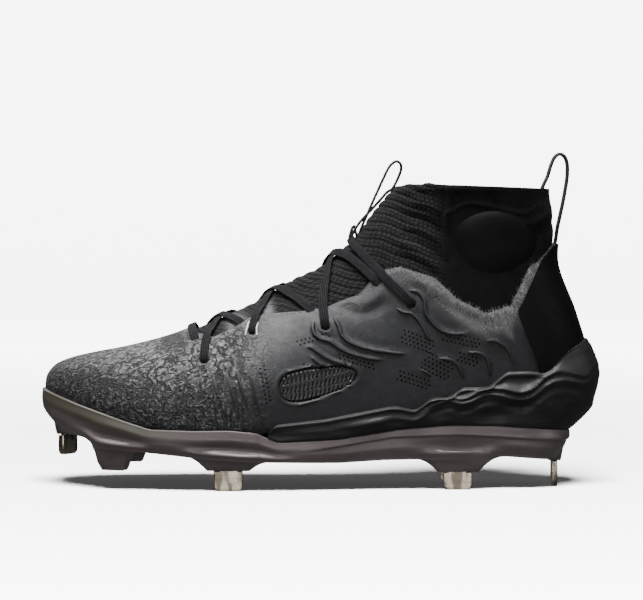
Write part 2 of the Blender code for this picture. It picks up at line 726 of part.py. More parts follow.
def make_outsole(last):
    outline = Outline(last, stations(whole=True))

    def rim(x):
        return line(PLATE_TOP, x)

    def cup(x):
        """The bed inside the rim: it lies lower only in front of the midsole."""
        return min(line(FOOT_BED, x), rim(x)) if x > MIDSOLE_FRONT * LENGTH else rim(x)

    def under(x):
        return line(PLATE_UNDER, x)

    def step(x):
        return rim(x) - STEP_DROP_SHARE * PLATE_STEP_DROP

    def waist(x):
        return (1 - WAIST_SHARE) * rim(x) + WAIST_SHARE * under(x)

    def back(way):
        return max(-way.x, 0.0) ** 2

    def heel(way):
        return (HEEL_TUCK + PLATE_RIM) * back(way)

    loops = [
        outline.loop(lambda x, w: -BED_INSET - heel(w), cup),
        outline.loop(lambda x, w: -CUP_INSET - heel(w), rim),
        outline.loop(lambda x, w: PLATE_RIM - heel(w), rim),
        outline.loop(lambda x, w: PLATE_BULGE - heel(w), lambda x: rim(x) - PLATE_STEP_DROP),
        outline.loop(lambda x, w: PLATE_STEP - HEEL_TUCK_STEP * heel(w), step),
        outline.loop(lambda x, w: -HEEL_TUCK_WAIST * heel(w), waist),
        outline.loop(lambda x, w: -UNDER_INSET - HEEL_TUCK_UNDER * heel(w), under),
    ]
    plate = add_object("outsole", loops_body(loops), "plate_plastic")
    for row in LUGS:
        cut(plate, make_lug(row), "UNION")
    sockets = bmesh.new()
    for _, lug_name, _ in BLADES:
        box(sockets, SHANK_WIDTH / 2 + GAP, BLADE_THICKNESS / 2 + GAP, -SOCKET_CUT_BELOW, SHANK_DEPTH + GAP,
            blade_place(lug_name))
    cut(plate, add_object("sockets", sockets, "plate_plastic"))
    return plate


def make_blade(name, lug_name, on_floor):
    """A flat blade with cut lower corners, its narrower shank up in the lug's socket."""
    place = blade_place(lug_name)
    drop = place.translation.z if on_floor else BLADE_HEIGHT
    half = BLADE_WIDTH / 2
    shank = SHANK_WIDTH / 2
    top = -GAP
    outline = [
        (-half + BLADE_CORNER, -drop), (half - BLADE_CORNER, -drop), (half, -drop + BLADE_CORNER),
        (half, top), (shank, top), (shank, SHANK_DEPTH), (-shank, SHANK_DEPTH), (-shank, top),
        (-half, top), (-half, -drop + BLADE_CORNER),
    ]
    bm = bmesh.new()
    near = [bm.verts.new(place @ Vector((a, -BLADE_THICKNESS / 2, z))) for a, z in outline]
    far = [bm.verts.new(place @ Vector((a, BLADE_THICKNESS / 2, z))) for a, z in outline]
    bm.faces.new(near)
    bm.faces.new(far[::-1])
    for j in range(len(outline)):
        k = (j + 1) % len(outline)
        bm.faces.new((near[j], far[j], far[k], near[k]))
    return add_object(name, bm, "blade_metal")


def lace_path(last, start, finish, crest, lift, rise):
    """Points and normals over the shoe from one eyelet to the other, in one plane through the crest."""
    inner = Vector((crest[0] * LENGTH, 0, crest[1] * COLLAR_HEIGHT)) - LACE_AIM * 2
    over, outward = last.hit(inner, LACE_AIM)
    centre = over - outward * LACE_ARCH
    ways = []
    for (x, z), side in (start, finish):
        place, _ = last.side(x * LENGTH, z * COLLAR_HEIGHT, side)
        ways.append((place - centre).normalized())
    bend = outward * 2 - (ways[0] + ways[1]) / 2
    path = []
    for i in range(LACE_STEPS + 1):
        t = LACE_START + (1 - 2 * LACE_START) * i / LACE_STEPS
        way = ways[0] * (1 - t) ** 2 + bend * 2 * t * (1 - t) + ways[1] * t**2
        place, normal = last.hit(centre, way.normalized())
        height = lift + rise * max(0.0, 1 - abs(t - 0.5) / LACE_RISE_SHARE)
        path.append((place + normal * height, normal))
    return path


def ribbon(bm, path, width, thickness):
    """A flat band along the path, its underside on the path's points."""
    rows = []
    count = len(path)
    for i, (place, normal) in enumerate(path):
        before = path[max(i - 1, 0)][0]
        after = path[min(i + 1, count - 1)][0]
        along = (after - before).normalized()
        side = normal.cross(along).normalized() * width / 2
        up = along.cross(side).normalized() * thickness
        if up.dot(normal) < 0:
            up = -up
        corners = (place - side, place + side, place + side + up, place - side + up)
        rows.append([bm.verts.new(p) for p in corners])
    for low, high in zip(rows, rows[1:]):
        for j in range(4):
            k = (j + 1) % 4
            bm.faces.new((low[j], low[k], high[k], high[j]))
    bm.faces.new(rows[0])
    bm.faces.new(rows[-1])


def make_lace(last, name, strands, crest):
    """One bar, or two strands that cross as one solid."""
    made = None
    for number, (start, finish) in enumerate(strands):
        bm = bmesh.new()
        rise = number * LACE_OVER_SHARE * LACE_THICKNESS
        path = lace_path(last, start, finish, crest, GAP + LACE_LIFT, rise)
        ribbon(bm, path, LACE_WIDTH, LACE_THICKNESS)
        strand = add_object(name if made is None else name + "_over", bm, "lace_weave")
        if made is None:
            made = strand
        else:
            cut(made, strand, "UNION")
    return made


def make_laces(last):
    e1, e2, e3, e4 = EYELETS
    t1, t2, t3, t4 = TUCKS
    make_lace(last, "lace_bar_front", [((t1, 1), (t1, -1))], CREST_BAR_FRONT)
    make_lace(last, "lace_cross_low", [((e1, 1), (t2, -1)), ((t2, 1), (e1, -1))], CREST_LOW)
    make_lace(last, "lace_cross_mid", [((e2, 1), (t3, -1)), ((t3, 1), (e2, -1))], CREST_MID)
    make_lace(last, "lace_cross_high", [((e3, 1), (t4, -1)), ((t4, 1), (e3, -1))], CREST_HIGH)
    make_lace(last, "lace_bar_top", [((e4, 1), (e4, -1))], CREST_BAR_TOP)


def strap(name, points, width, thickness):
    """A flat webbing strap across the shoe, its middle line in the side view."""
    bm = bmesh.new()
    rows = []
    for i, (x, z) in enumerate(points):
        before = Vector(points[max(i - 1, 0)])
        after = Vector(points[min(i + 1, len(points) - 1)])
        along = (after - before).normalized()
        out = Vector((-along.y, along.x)) * thickness / 2
        half = width / 2
        corners = [(x - out.x, -half, z - out.y), (x + out.x, -half, z + out.y),
                   (x + out.x, half, z + out.y), (x - out.x, half, z - out.y)]
        rows.append([bm.verts.new(c) for c in corners])
    for low, high in zip(rows, rows[1:]):
        for j in range(4):
            k = (j + 1) % 4
            bm.faces.new((low[j], low[k], high[k], high[j]))
    bm.faces.new(rows[0])
    bm.faces.new(rows[-1])
    return add_object(name, bm, "webbing")


def smooth(points, steps):
    """A rounded path through the given side-view points."""
    path = []
    count = len(points)
    for i in range(count - 1):
        a, b, c, d = [np.array(points[min(max(i + k, 0), count - 1)]) for k in (-1, 0, 1, 2)]
        for k in range(steps):
            t = k / steps
            path.append(tuple(0.5 * (2 * b + (c - a) * t + (2 * a - 5 * b + 4 * c - d) * t * t
                                     + (3 * b - a - 3 * c + d) * t**3)))
    path.append(tuple(points[-1]))
    return path


def make_rear_loop(last):
    """A strap from inside the collar, up and over, and down the back of the heel."""
    sunk = UPPER_WALL + TUCK_GAP
    half = REAR_LOOP_THICKNESS / 2
    outside = sunk - GAP - half
    inside = sunk + KNIT_WALL + 2 * GAP + half

    def back(z, inward):
        z = z * COLLAR_HEIGHT
        return (last.heel_x(min(z, HEEL_TOP_SHARE * COLLAR_HEIGHT)) + inward, z)

    low, high = REAR_LOOP_INSIDE
    top, mid, end = REAR_LOOP_OUTSIDE
    points = [back(low, inside), back(high, inside + REAR_LOOP_SET_IN)]
    points += [(x * LENGTH, z * COLLAR_HEIGHT) for x, z in REAR_LOOP_BEND]
    points += [back(top, outside - REAR_LOOP_SET_OUT), back(mid, outside), back(end, outside)]
    strap("pull_loop_rear", smooth(points, REAR_LOOP_STEPS), REAR_LOOP_WIDTH, REAR_LOOP_THICKNESS)


def make_front_loop():
    """A thin strap up the front of the collar, over, and back down to the tongue."""
    sunk = UPPER_WALL + TUCK_GAP
    half = FRONT_LOOP_THICKNESS / 2
    close = -sunk + 2 * GAP + half
    over = close + FRONT_LOOP_THICKNESS + GAP

    def front(u, lift):
        place = form_point(u, 0.0) + form_normal(u, 0.0) * lift
        return (place.x, place.z)

    *lower, highest = FRONT_LOOP_SECTIONS
    points = [front(u, close) for u in lower] + [front(highest, close + FRONT_LOOP_SET_IN)]
    points += [(x * LENGTH, z * COLLAR_HEIGHT) for x, z in FRONT_LOOP_BEND]
    points.append(front(lower[0], over + GAP))
    strap("pull_loop_front", smooth(points, FRONT_LOOP_STEPS), FRONT_LOOP_WIDTH, FRONT_LOOP_THICKNESS)


def main():
    clear_scene()
    last = Last()
    make_upper(last)
    make_collar()
    make_heel_panel()
    make_ankle_pad(last, "ankle_pad_lateral", 1)
    make_ankle_pad(last, "ankle_pad_medial", -1)
    make_insole(last)
    make_midsole(last)
    make_outsole(last)
    for name, lug_name, on_floor in BLADES:
        make_blade(name, lug_name, on_floor)
    make_laces(last)
    make_rear_loop(last)
    make_front_loop()


main()
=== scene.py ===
"""Looks of the baseball cleat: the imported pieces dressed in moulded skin, knit, foam, plastic and metal."""

import itertools
import math

import bmesh
import bpy
import numpy as np
from mathutils import Matrix, Vector
from mathutils.bvhtree import BVHTree
from mathutils.kdtree import KDTree

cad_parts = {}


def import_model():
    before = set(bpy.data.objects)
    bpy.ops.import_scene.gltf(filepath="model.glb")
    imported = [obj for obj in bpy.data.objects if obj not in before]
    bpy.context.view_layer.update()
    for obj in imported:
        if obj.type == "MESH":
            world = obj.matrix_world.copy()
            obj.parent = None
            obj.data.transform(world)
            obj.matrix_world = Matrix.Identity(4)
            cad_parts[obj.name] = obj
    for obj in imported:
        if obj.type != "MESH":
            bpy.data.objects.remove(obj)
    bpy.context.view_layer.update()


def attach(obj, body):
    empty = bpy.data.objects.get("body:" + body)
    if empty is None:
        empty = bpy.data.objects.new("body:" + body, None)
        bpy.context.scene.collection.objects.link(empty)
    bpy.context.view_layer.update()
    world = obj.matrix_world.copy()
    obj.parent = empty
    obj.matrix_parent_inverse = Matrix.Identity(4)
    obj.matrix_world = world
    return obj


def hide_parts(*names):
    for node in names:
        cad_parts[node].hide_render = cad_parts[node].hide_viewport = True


MM = 0.001

# Driving sizes of the shoe, as in the part's own source
LENGTH = 300 * MM
COLLAR_HEIGHT = 162 * MM
BALL_WIDTH = 99 * MM

# Walls and clearances
UPPER_WALL = 1.6 * MM
KNIT_WALL = 2.2 * MM
PANEL_WALL = 0.8 * MM
INSOLE_THICKNESS = 4.0 * MM
GAP = 0.3 * MM
TUCK_GAP = 0.5 * MM
PANEL_GAP = 0.5 * MM
TUCK_DEPTH = 13 * MM
EYELET_RADIUS = 2.3 * MM

# Laces and loops
LACE_WIDTH = 4.8 * MM
LACE_THICKNESS = 1.2 * MM
LACE_RIBS = 5
LACE_STEPS = 44
LACE_TUCK = 5 * MM
THROAT_SINK = 1.5 * MM
LACE_TUCK_DEPTH = 1.9 * MM
LACE_ARCH = 25 * MM
LACE_RISE_SHARE = 0.22
LACE_HOLE_STEPS = 4
LACE_HOLE_REACH = 1.1 * MM
LACE_HOLE_DROP = 1.3 * MM
LACE_AIM = Vector((0.7, 0.0, 0.7)) * 20 * MM
FRONT_LOOP_WIDTH = 7 * MM
FRONT_LOOP_THICKNESS = 1.2 * MM
REAR_LOOP_WIDTH = 9 * MM
REAR_LOOP_THICKNESS = 1.9 * MM
PAD_RISE = 3.2 * MM
PAD_SINK = 1.1 * MM
PAD_SEAT = UPPER_WALL + TUCK_GAP + 0.2 * MM

# Blades
BLADE_WIDTH = 15 * MM
BLADE_THICKNESS = 3 * MM
BLADE_HEIGHT = 11 * MM
BLADE_CORNER = 3.0 * MM
BLADE_BEVEL = 0.4 * MM
SHANK_WIDTH = 10 * MM
SHANK_DEPTH = 4.5 * MM

# The toe's tip stands this much further out than the faceted solid's
TOE_REACH = 2.6 * MM
TOE_REACH_FROM = 112 * MM

# Mesh steps of the fine forms
SKIN_STEP = 1.25 * MM
KNIT_STEP = 1.1 * MM
PANEL_STEP = 2.0 * MM
LAST_STEP = 3 * MM
AROUND_SKIN = 112
AROUND_KNIT = 110
AROUND_PANEL = 90
AROUND_LAST = 70
LINING_SHARE = 0.12
PAD_RINGS = 26
AROUND_PAD = 96
WALL_STEPS = 64
PLATE_SIDE_STEPS = 30
PLATE_UNDER_STEPS = 34
VENT_COLUMNS = 170
VENT_ROWS = 30
BLADE_CORNER_STEPS = 6
# Rays of the sole's outlines: in each end's fan, behind the midsole's front end, and ahead of it
MIDSOLE_RAYS = (40, 200, 0)
INSOLE_RAYS = (16, 60, 24)
PLATE_RAYS = (26, 120, 66)

# Sections of the last, toe to collar, as in the part's own source.
# top_x, top_z, base_x, base_z, outer_y, inner_y, crest_y, widest, top_square, base_square
SECTIONS = [
    (0.4925, 0.338, 0.4925, 0.333, -0.070, -0.070, -0.070, 0.55, 2.0, 2.6),
    (0.489, 0.374, 0.489, 0.290, 0.035, -0.175, -0.070, 0.55, 2.0, 2.8),
    (0.474, 0.409, 0.473, 0.260, 0.150, -0.285, -0.070, 0.58, 2.0, 3.2),
    (0.446, 0.432, 0.443, 0.233, 0.260, -0.375, -0.070, 0.62, 2.1, 3.6),
    (0.403, 0.451, 0.400, 0.207, 0.360, -0.440, -0.065, 0.66, 2.1, 4.0),
    (0.345, 0.472, 0.340, 0.176, 0.435, -0.480, -0.060, 0.68, 2.1, 4.0),
    (0.272, 0.508, 0.266, 0.148, 0.482, -0.499, -0.060, 0.70, 2.1, 4.0),
    (0.198, 0.562, 0.186, 0.139, 0.498, -0.490, -0.055, 0.72, 2.0, 4.0),
    (0.126, 0.622, 0.093, 0.139, 0.497, -0.440, -0.050, 0.73, 2.0, 4.0),
    (0.062, 0.674, 0.000, 0.145, 0.465, -0.375, -0.040, 0.74, 2.0, 4.0),
    (0.010, 0.726, -0.100, 0.167, 0.420, -0.340, -0.030, 0.74, 2.0, 4.0),
    (-0.025, 0.786, -0.207, 0.191, 0.390, -0.335, -0.020, 0.72, 2.0, 4.0),
    (-0.050, 0.845, -0.317, 0.210, 0.375, -0.345, -0.010, 0.68, 2.0, 3.6),
    (-0.073, 0.895, -0.427, 0.228, 0.365, -0.345, 0.0, 0.63, 2.1, 3.2),
    (-0.093, 0.935, -0.471, 0.300, 0.355, -0.340, 0.0, 0.58, 2.1, 2.8),
    (-0.106, 0.962, -0.481, 0.430, 0.340, -0.330, 0.0, 0.55, 2.1, 2.6),
    (-0.116, 0.982, -0.460, 0.580, 0.325, -0.322, 0.0, 0.52, 2.2, 2.5),
    (-0.124, 0.996, -0.428, 0.740, 0.320, -0.318, 0.0, 0.50, 2.2, 2.4),
    (-0.129, 1.006, -0.429, 0.875, 0.318, -0.316, 0.0, 0.50, 2.2, 2.4),
    (-0.133, 1.014, -0.420, 0.998, 0.325, -0.322, 0.0, 0.50, 2.2, 2.4),
]
COLLAR_FIRST_SECTION = 6
UPPER_LAST_SECTION = 18
HEEL_PANEL_FIRST_SECTION = 12
HEEL_CENTRE = -0.36
MIDSOLE_FRONT = 0.092
TOE_CENTRE = 0.35

# Lines of the side view: x as a share of LENGTH, z as a share of COLLAR_HEIGHT.
SKIN_EDGE = [
    (0.247, 0.560), (0.225, 0.520), (0.190, 0.506), (0.153, 0.540), (0.120, 0.575), (0.080, 0.585),
    (0.033, 0.592), (-0.009, 0.604), (-0.043, 0.630), (-0.067, 0.645), (-0.090, 0.692), (-0.117, 0.728),
    (-0.143, 0.738), (-0.203, 0.704), (-0.247, 0.630), (-0.297, 0.585), (-0.340, 0.611), (-0.373, 0.735),
    (-0.396, 0.762), (-0.424, 0.815), (-0.500, 0.830),
]
PLATE_TOP = [
    (0.500, 0.334), (0.430, 0.284), (0.352, 0.235), (0.302, 0.206), (0.223, 0.202), (0.162, 0.204),
    (0.113, 0.195), (0.075, 0.163), (-0.036, 0.173), (-0.143, 0.204), (-0.228, 0.216), (-0.315, 0.213),
    (-0.457, 0.194), (-0.500, 0.190),
]
FOOT_BED = [
    (0.500, 0.315), (0.467, 0.293), (0.417, 0.250), (0.350, 0.206), (0.283, 0.180), (0.200, 0.173),
    (0.150, 0.180), (0.033, 0.204), (-0.100, 0.228), (-0.267, 0.259),
    (-0.417, 0.278), (-0.500, 0.284),
]
PLATE_UNDER = [
    (0.500, 0.250), (0.475, 0.186), (0.417, 0.175), (0.398, 0.140), (0.316, 0.130), (0.258, 0.120),
    (0.200, 0.108), (0.133, 0.100), (0.040, 0.096), (-0.036, 0.094), (-0.113, 0.102), (-0.190, 0.104),
    (-0.270, 0.108), (-0.330, 0.111), (-0.420, 0.098), (-0.450, 0.110), (-0.500, 0.160),
]
WAVE_TOP = [
    (0.500, 0.193), (0.092, 0.193), (0.080, 0.222), (-0.010, 0.240), (-0.123, 0.280), (-0.138, 0.281),
    (-0.169, 0.269), (-0.199, 0.309), (-0.229, 0.311), (-0.253, 0.341), (-0.299, 0.344), (-0.333, 0.393),
    (-0.370, 0.395), (-0.398, 0.389), (-0.432, 0.459), (-0.473, 0.507), (-0.500, 0.515),
]
# The heel film's front edge, from below: z, x
HEEL_PANEL_EDGE = [
    (0.35, -0.397), (0.43, -0.388), (0.54, -0.364), (0.59, -0.352), (0.64, -0.366), (0.74, -0.392),
    (0.83, -0.420),
]
EYELETS = [(0.206, 0.432), (0.120, 0.525), (-0.009, 0.542), (-0.163, 0.617)]
TUCKS = [(0.222, 0.490), (0.140, 0.552), (0.012, 0.585), (-0.112, 0.668)]
# Lace pieces: name, the end on one side, the end on the other, and the crest that they cross. A crossing
# has a second strand the other way round.
LACES = [
    ("lace_bar_front", ("tuck", 0), ("tuck", 0), (0.232, 0.535)),
    ("lace_cross_low", ("hole", 0), ("tuck", 1), (0.180, 0.575)),
    ("lace_cross_mid", ("hole", 1), ("tuck", 2), (0.085, 0.655)),
    ("lace_cross_high", ("hole", 2), ("tuck", 3), (-0.022, 0.780)),
    ("lace_bar_top", ("hole", 3), ("hole", 3), (-0.048, 0.840)),
]
ANKLE_PAD = {"x": -0.312, "z": 0.812, "half_length": 0.080, "half_height": 0.112}

# Moulded lugs, as in the part's own source
# name, x, y, turn in degrees, top length, top width, foot length, foot width, foot_z
LUGS = [
    ("toe", 0.455, -0.050, 65, 0.042, 0.110, 0.034, 0.085, 0.172),
    ("toe_outer", 0.369, 0.290, -18, 0.085, 0.150, 0.047, 0.060, 0.065),
    ("toe_inner", 0.352, -0.350, 14, 0.085, 0.150, 0.047, 0.060, 0.065),
    ("ball_outer", 0.163, 0.395, -3, 0.150, 0.165, 0.076, 0.080, 0.068),
    ("ball_inner", 0.172, -0.385, 4, 0.150, 0.165, 0.076, 0.080, 0.068),
    ("heel_outer", -0.246, 0.285, 3, 0.150, 0.160, 0.074, 0.080, 0.060),
    ("heel_inner", -0.246, -0.265, -3, 0.150, 0.160, 0.074, 0.080, 0.060),
    ("heel_rear", -0.424, 0.0, 90, 0.078, 0.110, 0.062, 0.070, 0.088),
]
BLADES = [
    ("blade_toe", "toe", False),
    ("blade_ball_lateral", "ball_outer", True),
    ("blade_ball_medial", "ball_inner", True),
    ("blade_heel_lateral", "heel_outer", True),
    ("blade_heel_medial", "heel_inner", True),
    ("blade_heel_rear", "heel_rear", True),
]

# How far the sole's edges stand out from the upper
PLATE_RIM = 1.4 * MM
PLATE_BULGE = 2.2 * MM
CUP_INSET = 3.4 * MM
BED_INSET = 6.0 * MM
WALL_GAP = 0.6 * MM
WALL_FOOT = 0.7 * MM
WALL_LIP = 2.2 * MM
WALL_BULGE = 5.2 * MM
HEEL_BULGE = 3.3 * MM
HEEL_SHELF = 2.2 * MM
HEEL_TUCK = 5.0 * MM
RIM_ROUND = 0.4 * MM
BAND_STEP = 1.1 * MM
SHELF_HOLLOW = 2.4 * MM
SHELF_LIP = 1.5 * MM
FOOT_TUCK = 2.6 * MM
PLATE_SHARP_ANGLE = 65

# The camera, in metres, with its lens and film width in millimetres
CAMERA_PLACE = (-0.0007, 2.0, 0.160)
CAMERA_AIM = (-0.0007, 0.0, 0.101)
CAMERA_LENS = 206
CAMERA_FILM = 36

# The floor: radii of its flat rings, the curve up to its wall and the wall's top, in metres. It glows a
# little, more and more from near to far, in millimetres from the middle.
FLOOR_WHITE = (0.92, 0.92, 0.92)
FLOOR_RINGS = (0.0, 0.4, 1.2, 3.0)
FLOOR_CURVE = 1.5
FLOOR_CURVE_STEPS = 10
FLOOR_TOP = 5.0
FLOOR_SIDES = 64
FLOOR_GLOW = {"near": 150.0, "far": 1900.0, "near_strength": 0.05, "far_strength": 6.0}
# Light from all round: between these slopes of the view it goes from the first strength to the second
WORLD_SLOPES = (-0.5, 0.3)
WORLD_STRENGTHS = (0.16, 0.05)
# name, place, aim, size, size_y, power, whether it shines on the floor alone
LIGHTS = [
    ("floor_light", (0.0, 1.85, 2.40), (0.0, 0.0, 0.0), 1.3, 1.2, 830.0, True),
    ("top_box", (0.12, 0.12, 1.1), (0.0, 0.0, 0.06), 1.0, 0.5, 40.0, False),
    ("front_box", (0.9, 1.3, 0.75), (0.0, 0.0, 0.08), 0.8, 0.8, 5.0, False),
    ("heel_box", (-1.2, 0.5, 0.6), (-0.05, 0.0, 0.09), 0.4, 0.8, 3.5, False),
    ("rear_box", (0.3, -1.2, 0.9), (0.0, 0.0, 0.09), 1.0, 0.6, 5.0, False),
    ("low_box", (0.1, 1.5, 0.12), (0.0, 0.0, 0.03), 1.4, 0.25, 7.0, False),
]

# Raised beads of the moulded side, in millimetres of the side view (x, z), with height and half width
SKIN_BEADS = [
    (0.75, 1.15, [(3, 92), (4, 86), (1, 82), (-5, 80), (-11, 76), (-18, 73), (-26, 71), (-35, 70)]),
    (0.75, 1.15, [(-7, 94), (-10, 88), (-11, 84), (-15, 80), (-22, 77), (-30, 75), (-38, 74), (-47, 73)]),
    (0.60, 1.05, [(8, 76), (5, 77), (2, 75), (-3, 71.5), (-9, 69), (-17, 67.5)]),
    (0.50, 1.00, [(6.5, 73), (3, 70.5), (-2, 67), (-9, 65)]),
    (0.80, 1.20, [
        (-47, 106.5), (-52, 106.5), (-55.5, 103), (-56, 98), (-57.5, 93), (-63, 87), (-70, 84), (-80, 84),
    ]),
    (0.70, 1.10, [(-40, 98.5), (-44, 95.5), (-49, 94.5), (-53.5, 90), (-57, 83.5), (-60, 79)]),
    (0.60, 1.10, [(-75, 74.5), (-85, 73.5), (-89.5, 70), (-90.5, 64), (-90, 60)]),
    (0.60, 1.10, [(-86, 80), (-94, 80), (-101, 74.5), (-103.5, 64)]),
    (0.60, 1.10, [(-61, 70.5), (-70, 70), (-75, 64.5), (-76.5, 57.5)]),
    (0.45, 1.00, [(-50, 66), (-57, 63), (-61, 59)]),
    (0.35, 1.10, [(51, 70), (49, 60), (46, 50), (45, 42)]),
    (0.35, 1.10, [(45, 71), (43, 60), (40, 50), (38, 41)]),
    (0.35, 1.10, [(39, 70), (36, 58), (33, 47), (30, 38)]),
    (0.30, 1.10, [(58, 68), (56, 58), (54, 48)]),
]
# Soft folds of the skin: height (negative is a trough), half width, path
SKIN_FOLDS = [
    (-0.9, 3.0, [(-8, 101), (-17, 96), (-28, 96), (-37, 103)]),
    (0.7, 2.6, [(-9, 105), (-17, 100.5), (-27, 100.5), (-34, 108)]),
    (0.8, 3.0, [(-46, 114), (-56, 111), (-68, 103), (-80, 96), (-96, 92)]),
    (-0.7, 3.0, [(-50, 109), (-60, 104), (-72, 97), (-85, 90)]),
    (-0.5, 4.0, [(62, 92), (50, 82), (40, 72)]),
]
# Grey of the skin, partly its own two-tone grey, lighter over the forefoot, and partly painted shade, darker
# low on the sides and at the toe: blobs of the side view in millimetres
# x, z, reach_x, reach_z, amount
SKIN_GREY_AND_SHADE = [
    (84, 84, 50, 20, 0.90),
    (98, 62, 55, 11, 0.30),
    (50, 70, 18, 10, 0.14),
    (0, 99, 12, 5, 0.16),
    (-18, 102, 12, 4, 0.16),
    (-58, 100, 14, 8, 0.06),
    (-14, 78, 26, 12, -0.12),
    (-24, 101, 20, 10, -0.44),
    (79, 79.5, 8, 5.5, -1.30),
    (120, 50, 30, 14, -0.55),
    (40, 44, 60, 9, -0.45),
    (-40, 58, 50, 14, -0.30),
    (-105, 72, 22, 14, -0.08),
    (-122, 118, 6, 10, -0.40),
]
# Pinhole rows: start, end, rows, row spacing, in millimetres of the side view
PINHOLES = [
    ((-44, 83), (-62, 76), 4, 2.1),
    ((-56, 70), (-72, 62), 5, 2.2),
    ((-42, 62), (-60, 56), 3, 2.2),
    ((-66, 83), (-88, 78), 3, 2.2),
    ((-74, 72), (-86, 68), 3, 2.1),
    ((12, 79), (-6, 84), 2, 2.1),
    ((9, 67), (-12, 62), 2, 2.2),
    ((31, 67), (27, 46), 2, 2.2),
    ((-10, 72), (-30, 66), 2, 2.0),
]
PINHOLE_PITCH = 2.3
PINHOLE_RADIUS = 0.52 * MM
PINHOLE_LIFT = 0.03 * MM
# Fibres along the skin's edge, in millimetres: thick and long behind one place, thin ahead of it
FIBRES_A_SIDE = 3200
FIBRES_SEED = 7
FIBRES_FROM_TO = (-134, -30)
FIBRES_THICK_BEHIND = -62
FIBRES_THICK = {"lowest": 9.0, "longest": 3.6, "wide": 1.0}
FIBRES_THIN = {"lowest": 3.0, "longest": 2.0, "wide": 0.7}
FIBRES_THIN_SHARE = 0.3
FIBRE_RADIUS = 0.11 * MM
FIBRE_TUFT = 0.8 * MM
SCATTER_SIDES = {"GeometryNodeMeshCircle": 7, "GeometryNodeMeshCone": 3}
# The cord at the second eyelet: each strand's shift from it and lean, in millimetres
CORD_STRANDS = [(3.0, 0.9), (-2.4, 0.3)]
CORD_RADIUS = 0.42 * MM
ROUND_SIDES = 8
# The vent, in millimetres of the side view, its tilt in degrees. Its outline is a rounded box that widens
# to the front: the higher the powers of its ends and sides, the squarer it is.
VENT = {"x": 1.0, "z": 58.5, "half_length": 21.0, "half_height": 8.0, "tilt": 12.0, "rib": 2.3}
VENT_TAPER = 0.28
VENT_ENDS = 2.8
VENT_SIDES = 2.4
VENT_INSIDE = 0.985

# The knit collar, in millimetres of the side view: pitch, slope and height of the puffed rows in front,
# the level of its hem, and its pale patches as blobs
KNIT_PITCH = 4.7
KNIT_SLOPE = 0.36
KNIT_PUFF = 0.8
KNIT_HEM = 161
KNIT_PALE = [
    (44.5, 88.5, 5.0, 4.5, 1.5),
    (28.5, 94.5, 3.0, 5.5, 1.5),
]
KNIT_SEAM = [(-69, 165), (-68, 150), (-66, 138), (-67, 126)]
KNIT_FOLDS = [
    (0.8, 1.8, [(-48, 156), (-58, 153), (-66, 148)]),
    (0.9, 2.0, [(-46, 144), (-56, 139), (-66, 131)]),
    (-0.8, 1.8, [(-45, 148.5), (-56, 144), (-66, 137.5)]),
    (0.8, 2.0, [(-40, 134), (-52, 128), (-64, 118)]),
    (-0.7, 1.8, [(-42, 138), (-54, 132.5), (-66, 123)]),
    (0.7, 2.2, [(-34, 124), (-48, 119), (-62, 111)]),
    (-0.8, 2.0, [(-38, 127.5), (-50, 122.5), (-63, 114)]),
    (0.9, 1.8, [(-128, 152), (-121, 146), (-112, 142), (-100, 143)]),
    (-0.7, 2.2, [(-134, 146), (-124, 141), (-113, 137)]),
    (0.6, 2.4, [(-104, 118), (-112, 122), (-120, 130), (-128, 138)]),
]
PIPING = [(-64.5, 145), (-69, 149.5), (-77.5, 153), (-84, 153.5), (-94, 151.5), (-103, 149), (-112, 149),
          (-119.5, 152.5), (-123.5, 154)]
# Soft dimples of the midsole's side: x, z, reach_x, reach_z, depth, in millimetres
DIMPLES = [
    (-40, 38, 6, 2.8, 1.4),
    (-64.5, 41.5, 7, 3.4, 1.6),
    (-91.5, 41.5, 9, 4.6, 2.0),
    (-128, 49, 8, 5.5, 2.2),
    (-108, 45, 6, 3.0, 1.0),
    (-10, 33.5, 9, 2.0, 0.7),
]
# The second and third ridge of the midsole's side, in millimetres of the side view
SECOND_RIDGE = [
    (28, 34.5), (-3, 38), (-37, 44.5), (-50.7, 42.8), (-59.8, 48.8), (-69.3, 50), (-73.9, 49.2),
    (-77.6, 49.4), (-82.3, 51.9), (-88.8, 54.8), (-98.1, 54.8), (-107.4, 52.4), (-113, 54.3),
    (-118.6, 59.4), (-122.3, 62.6), (-127.9, 64), (-134.4, 63.1), (-142.7, 60.5), (-147.4, 66.4), (-155, 67),
]
THIRD_RIDGE = [
    (28, 31.5), (-3, 35), (-37, 41.5), (-50.7, 40.5), (-59.8, 46.0), (-68.4, 48.5), (-75.8, 46.8),
    (-81.4, 48.2), (-85.1, 50.5), (-89.7, 52.0), (-94.4, 51.6), (-101.8, 49.5), (-108.3, 48.4),
    (-113.9, 50.5), (-119.5, 55.2), (-124.1, 58.0), (-130.6, 59.2), (-136.2, 58.0), (-142.7, 56.6),
    (-148.3, 61.2), (-155, 62),
]
# The low line where the plate's band ends in a step, in millimetres of the side view
PLATE_RIDGE = [
    (150, 46), (144.3, 39.2), (125.9, 31), (114, 24.8), (97.5, 22.7), (80, 21.5), (64, 20), (40, 20),
    (22, 21), (5, 22.5), (-10.7, 25.1), (-38.8, 29.6), (-75.5, 30.5), (-131.7, 26.7), (-150, 27.5),
]
# Where the plate's side is hollow over a shelf, above a lug: x and reach, in millimetres
SHELVES = [(112, 16), (44, 24), (-74, 16)]
# The loops' free bends, in millimetres of the side view
REAR_LOOP_BEND = [
    (-123.4, 168), (-125.2, 174), (-127.4, 178.6), (-130.2, 180.3), (-132.8, 178.6), (-134.2, 174),
    (-134.0, 167), (-132.9, 160), (-131.6, 153), (-130.2, 146.5), (-128.8, 140),
]
# The rear loop's ends inside the collar and outside it: share of its height, and millimetres in or out
REAR_LOOP_INSIDE = [(0.90, 0.0), (0.985, 0.2)]
REAR_LOOP_OUTSIDE = [(0.82, -0.3), (0.79, 1.0), (0.76, 2.6)]
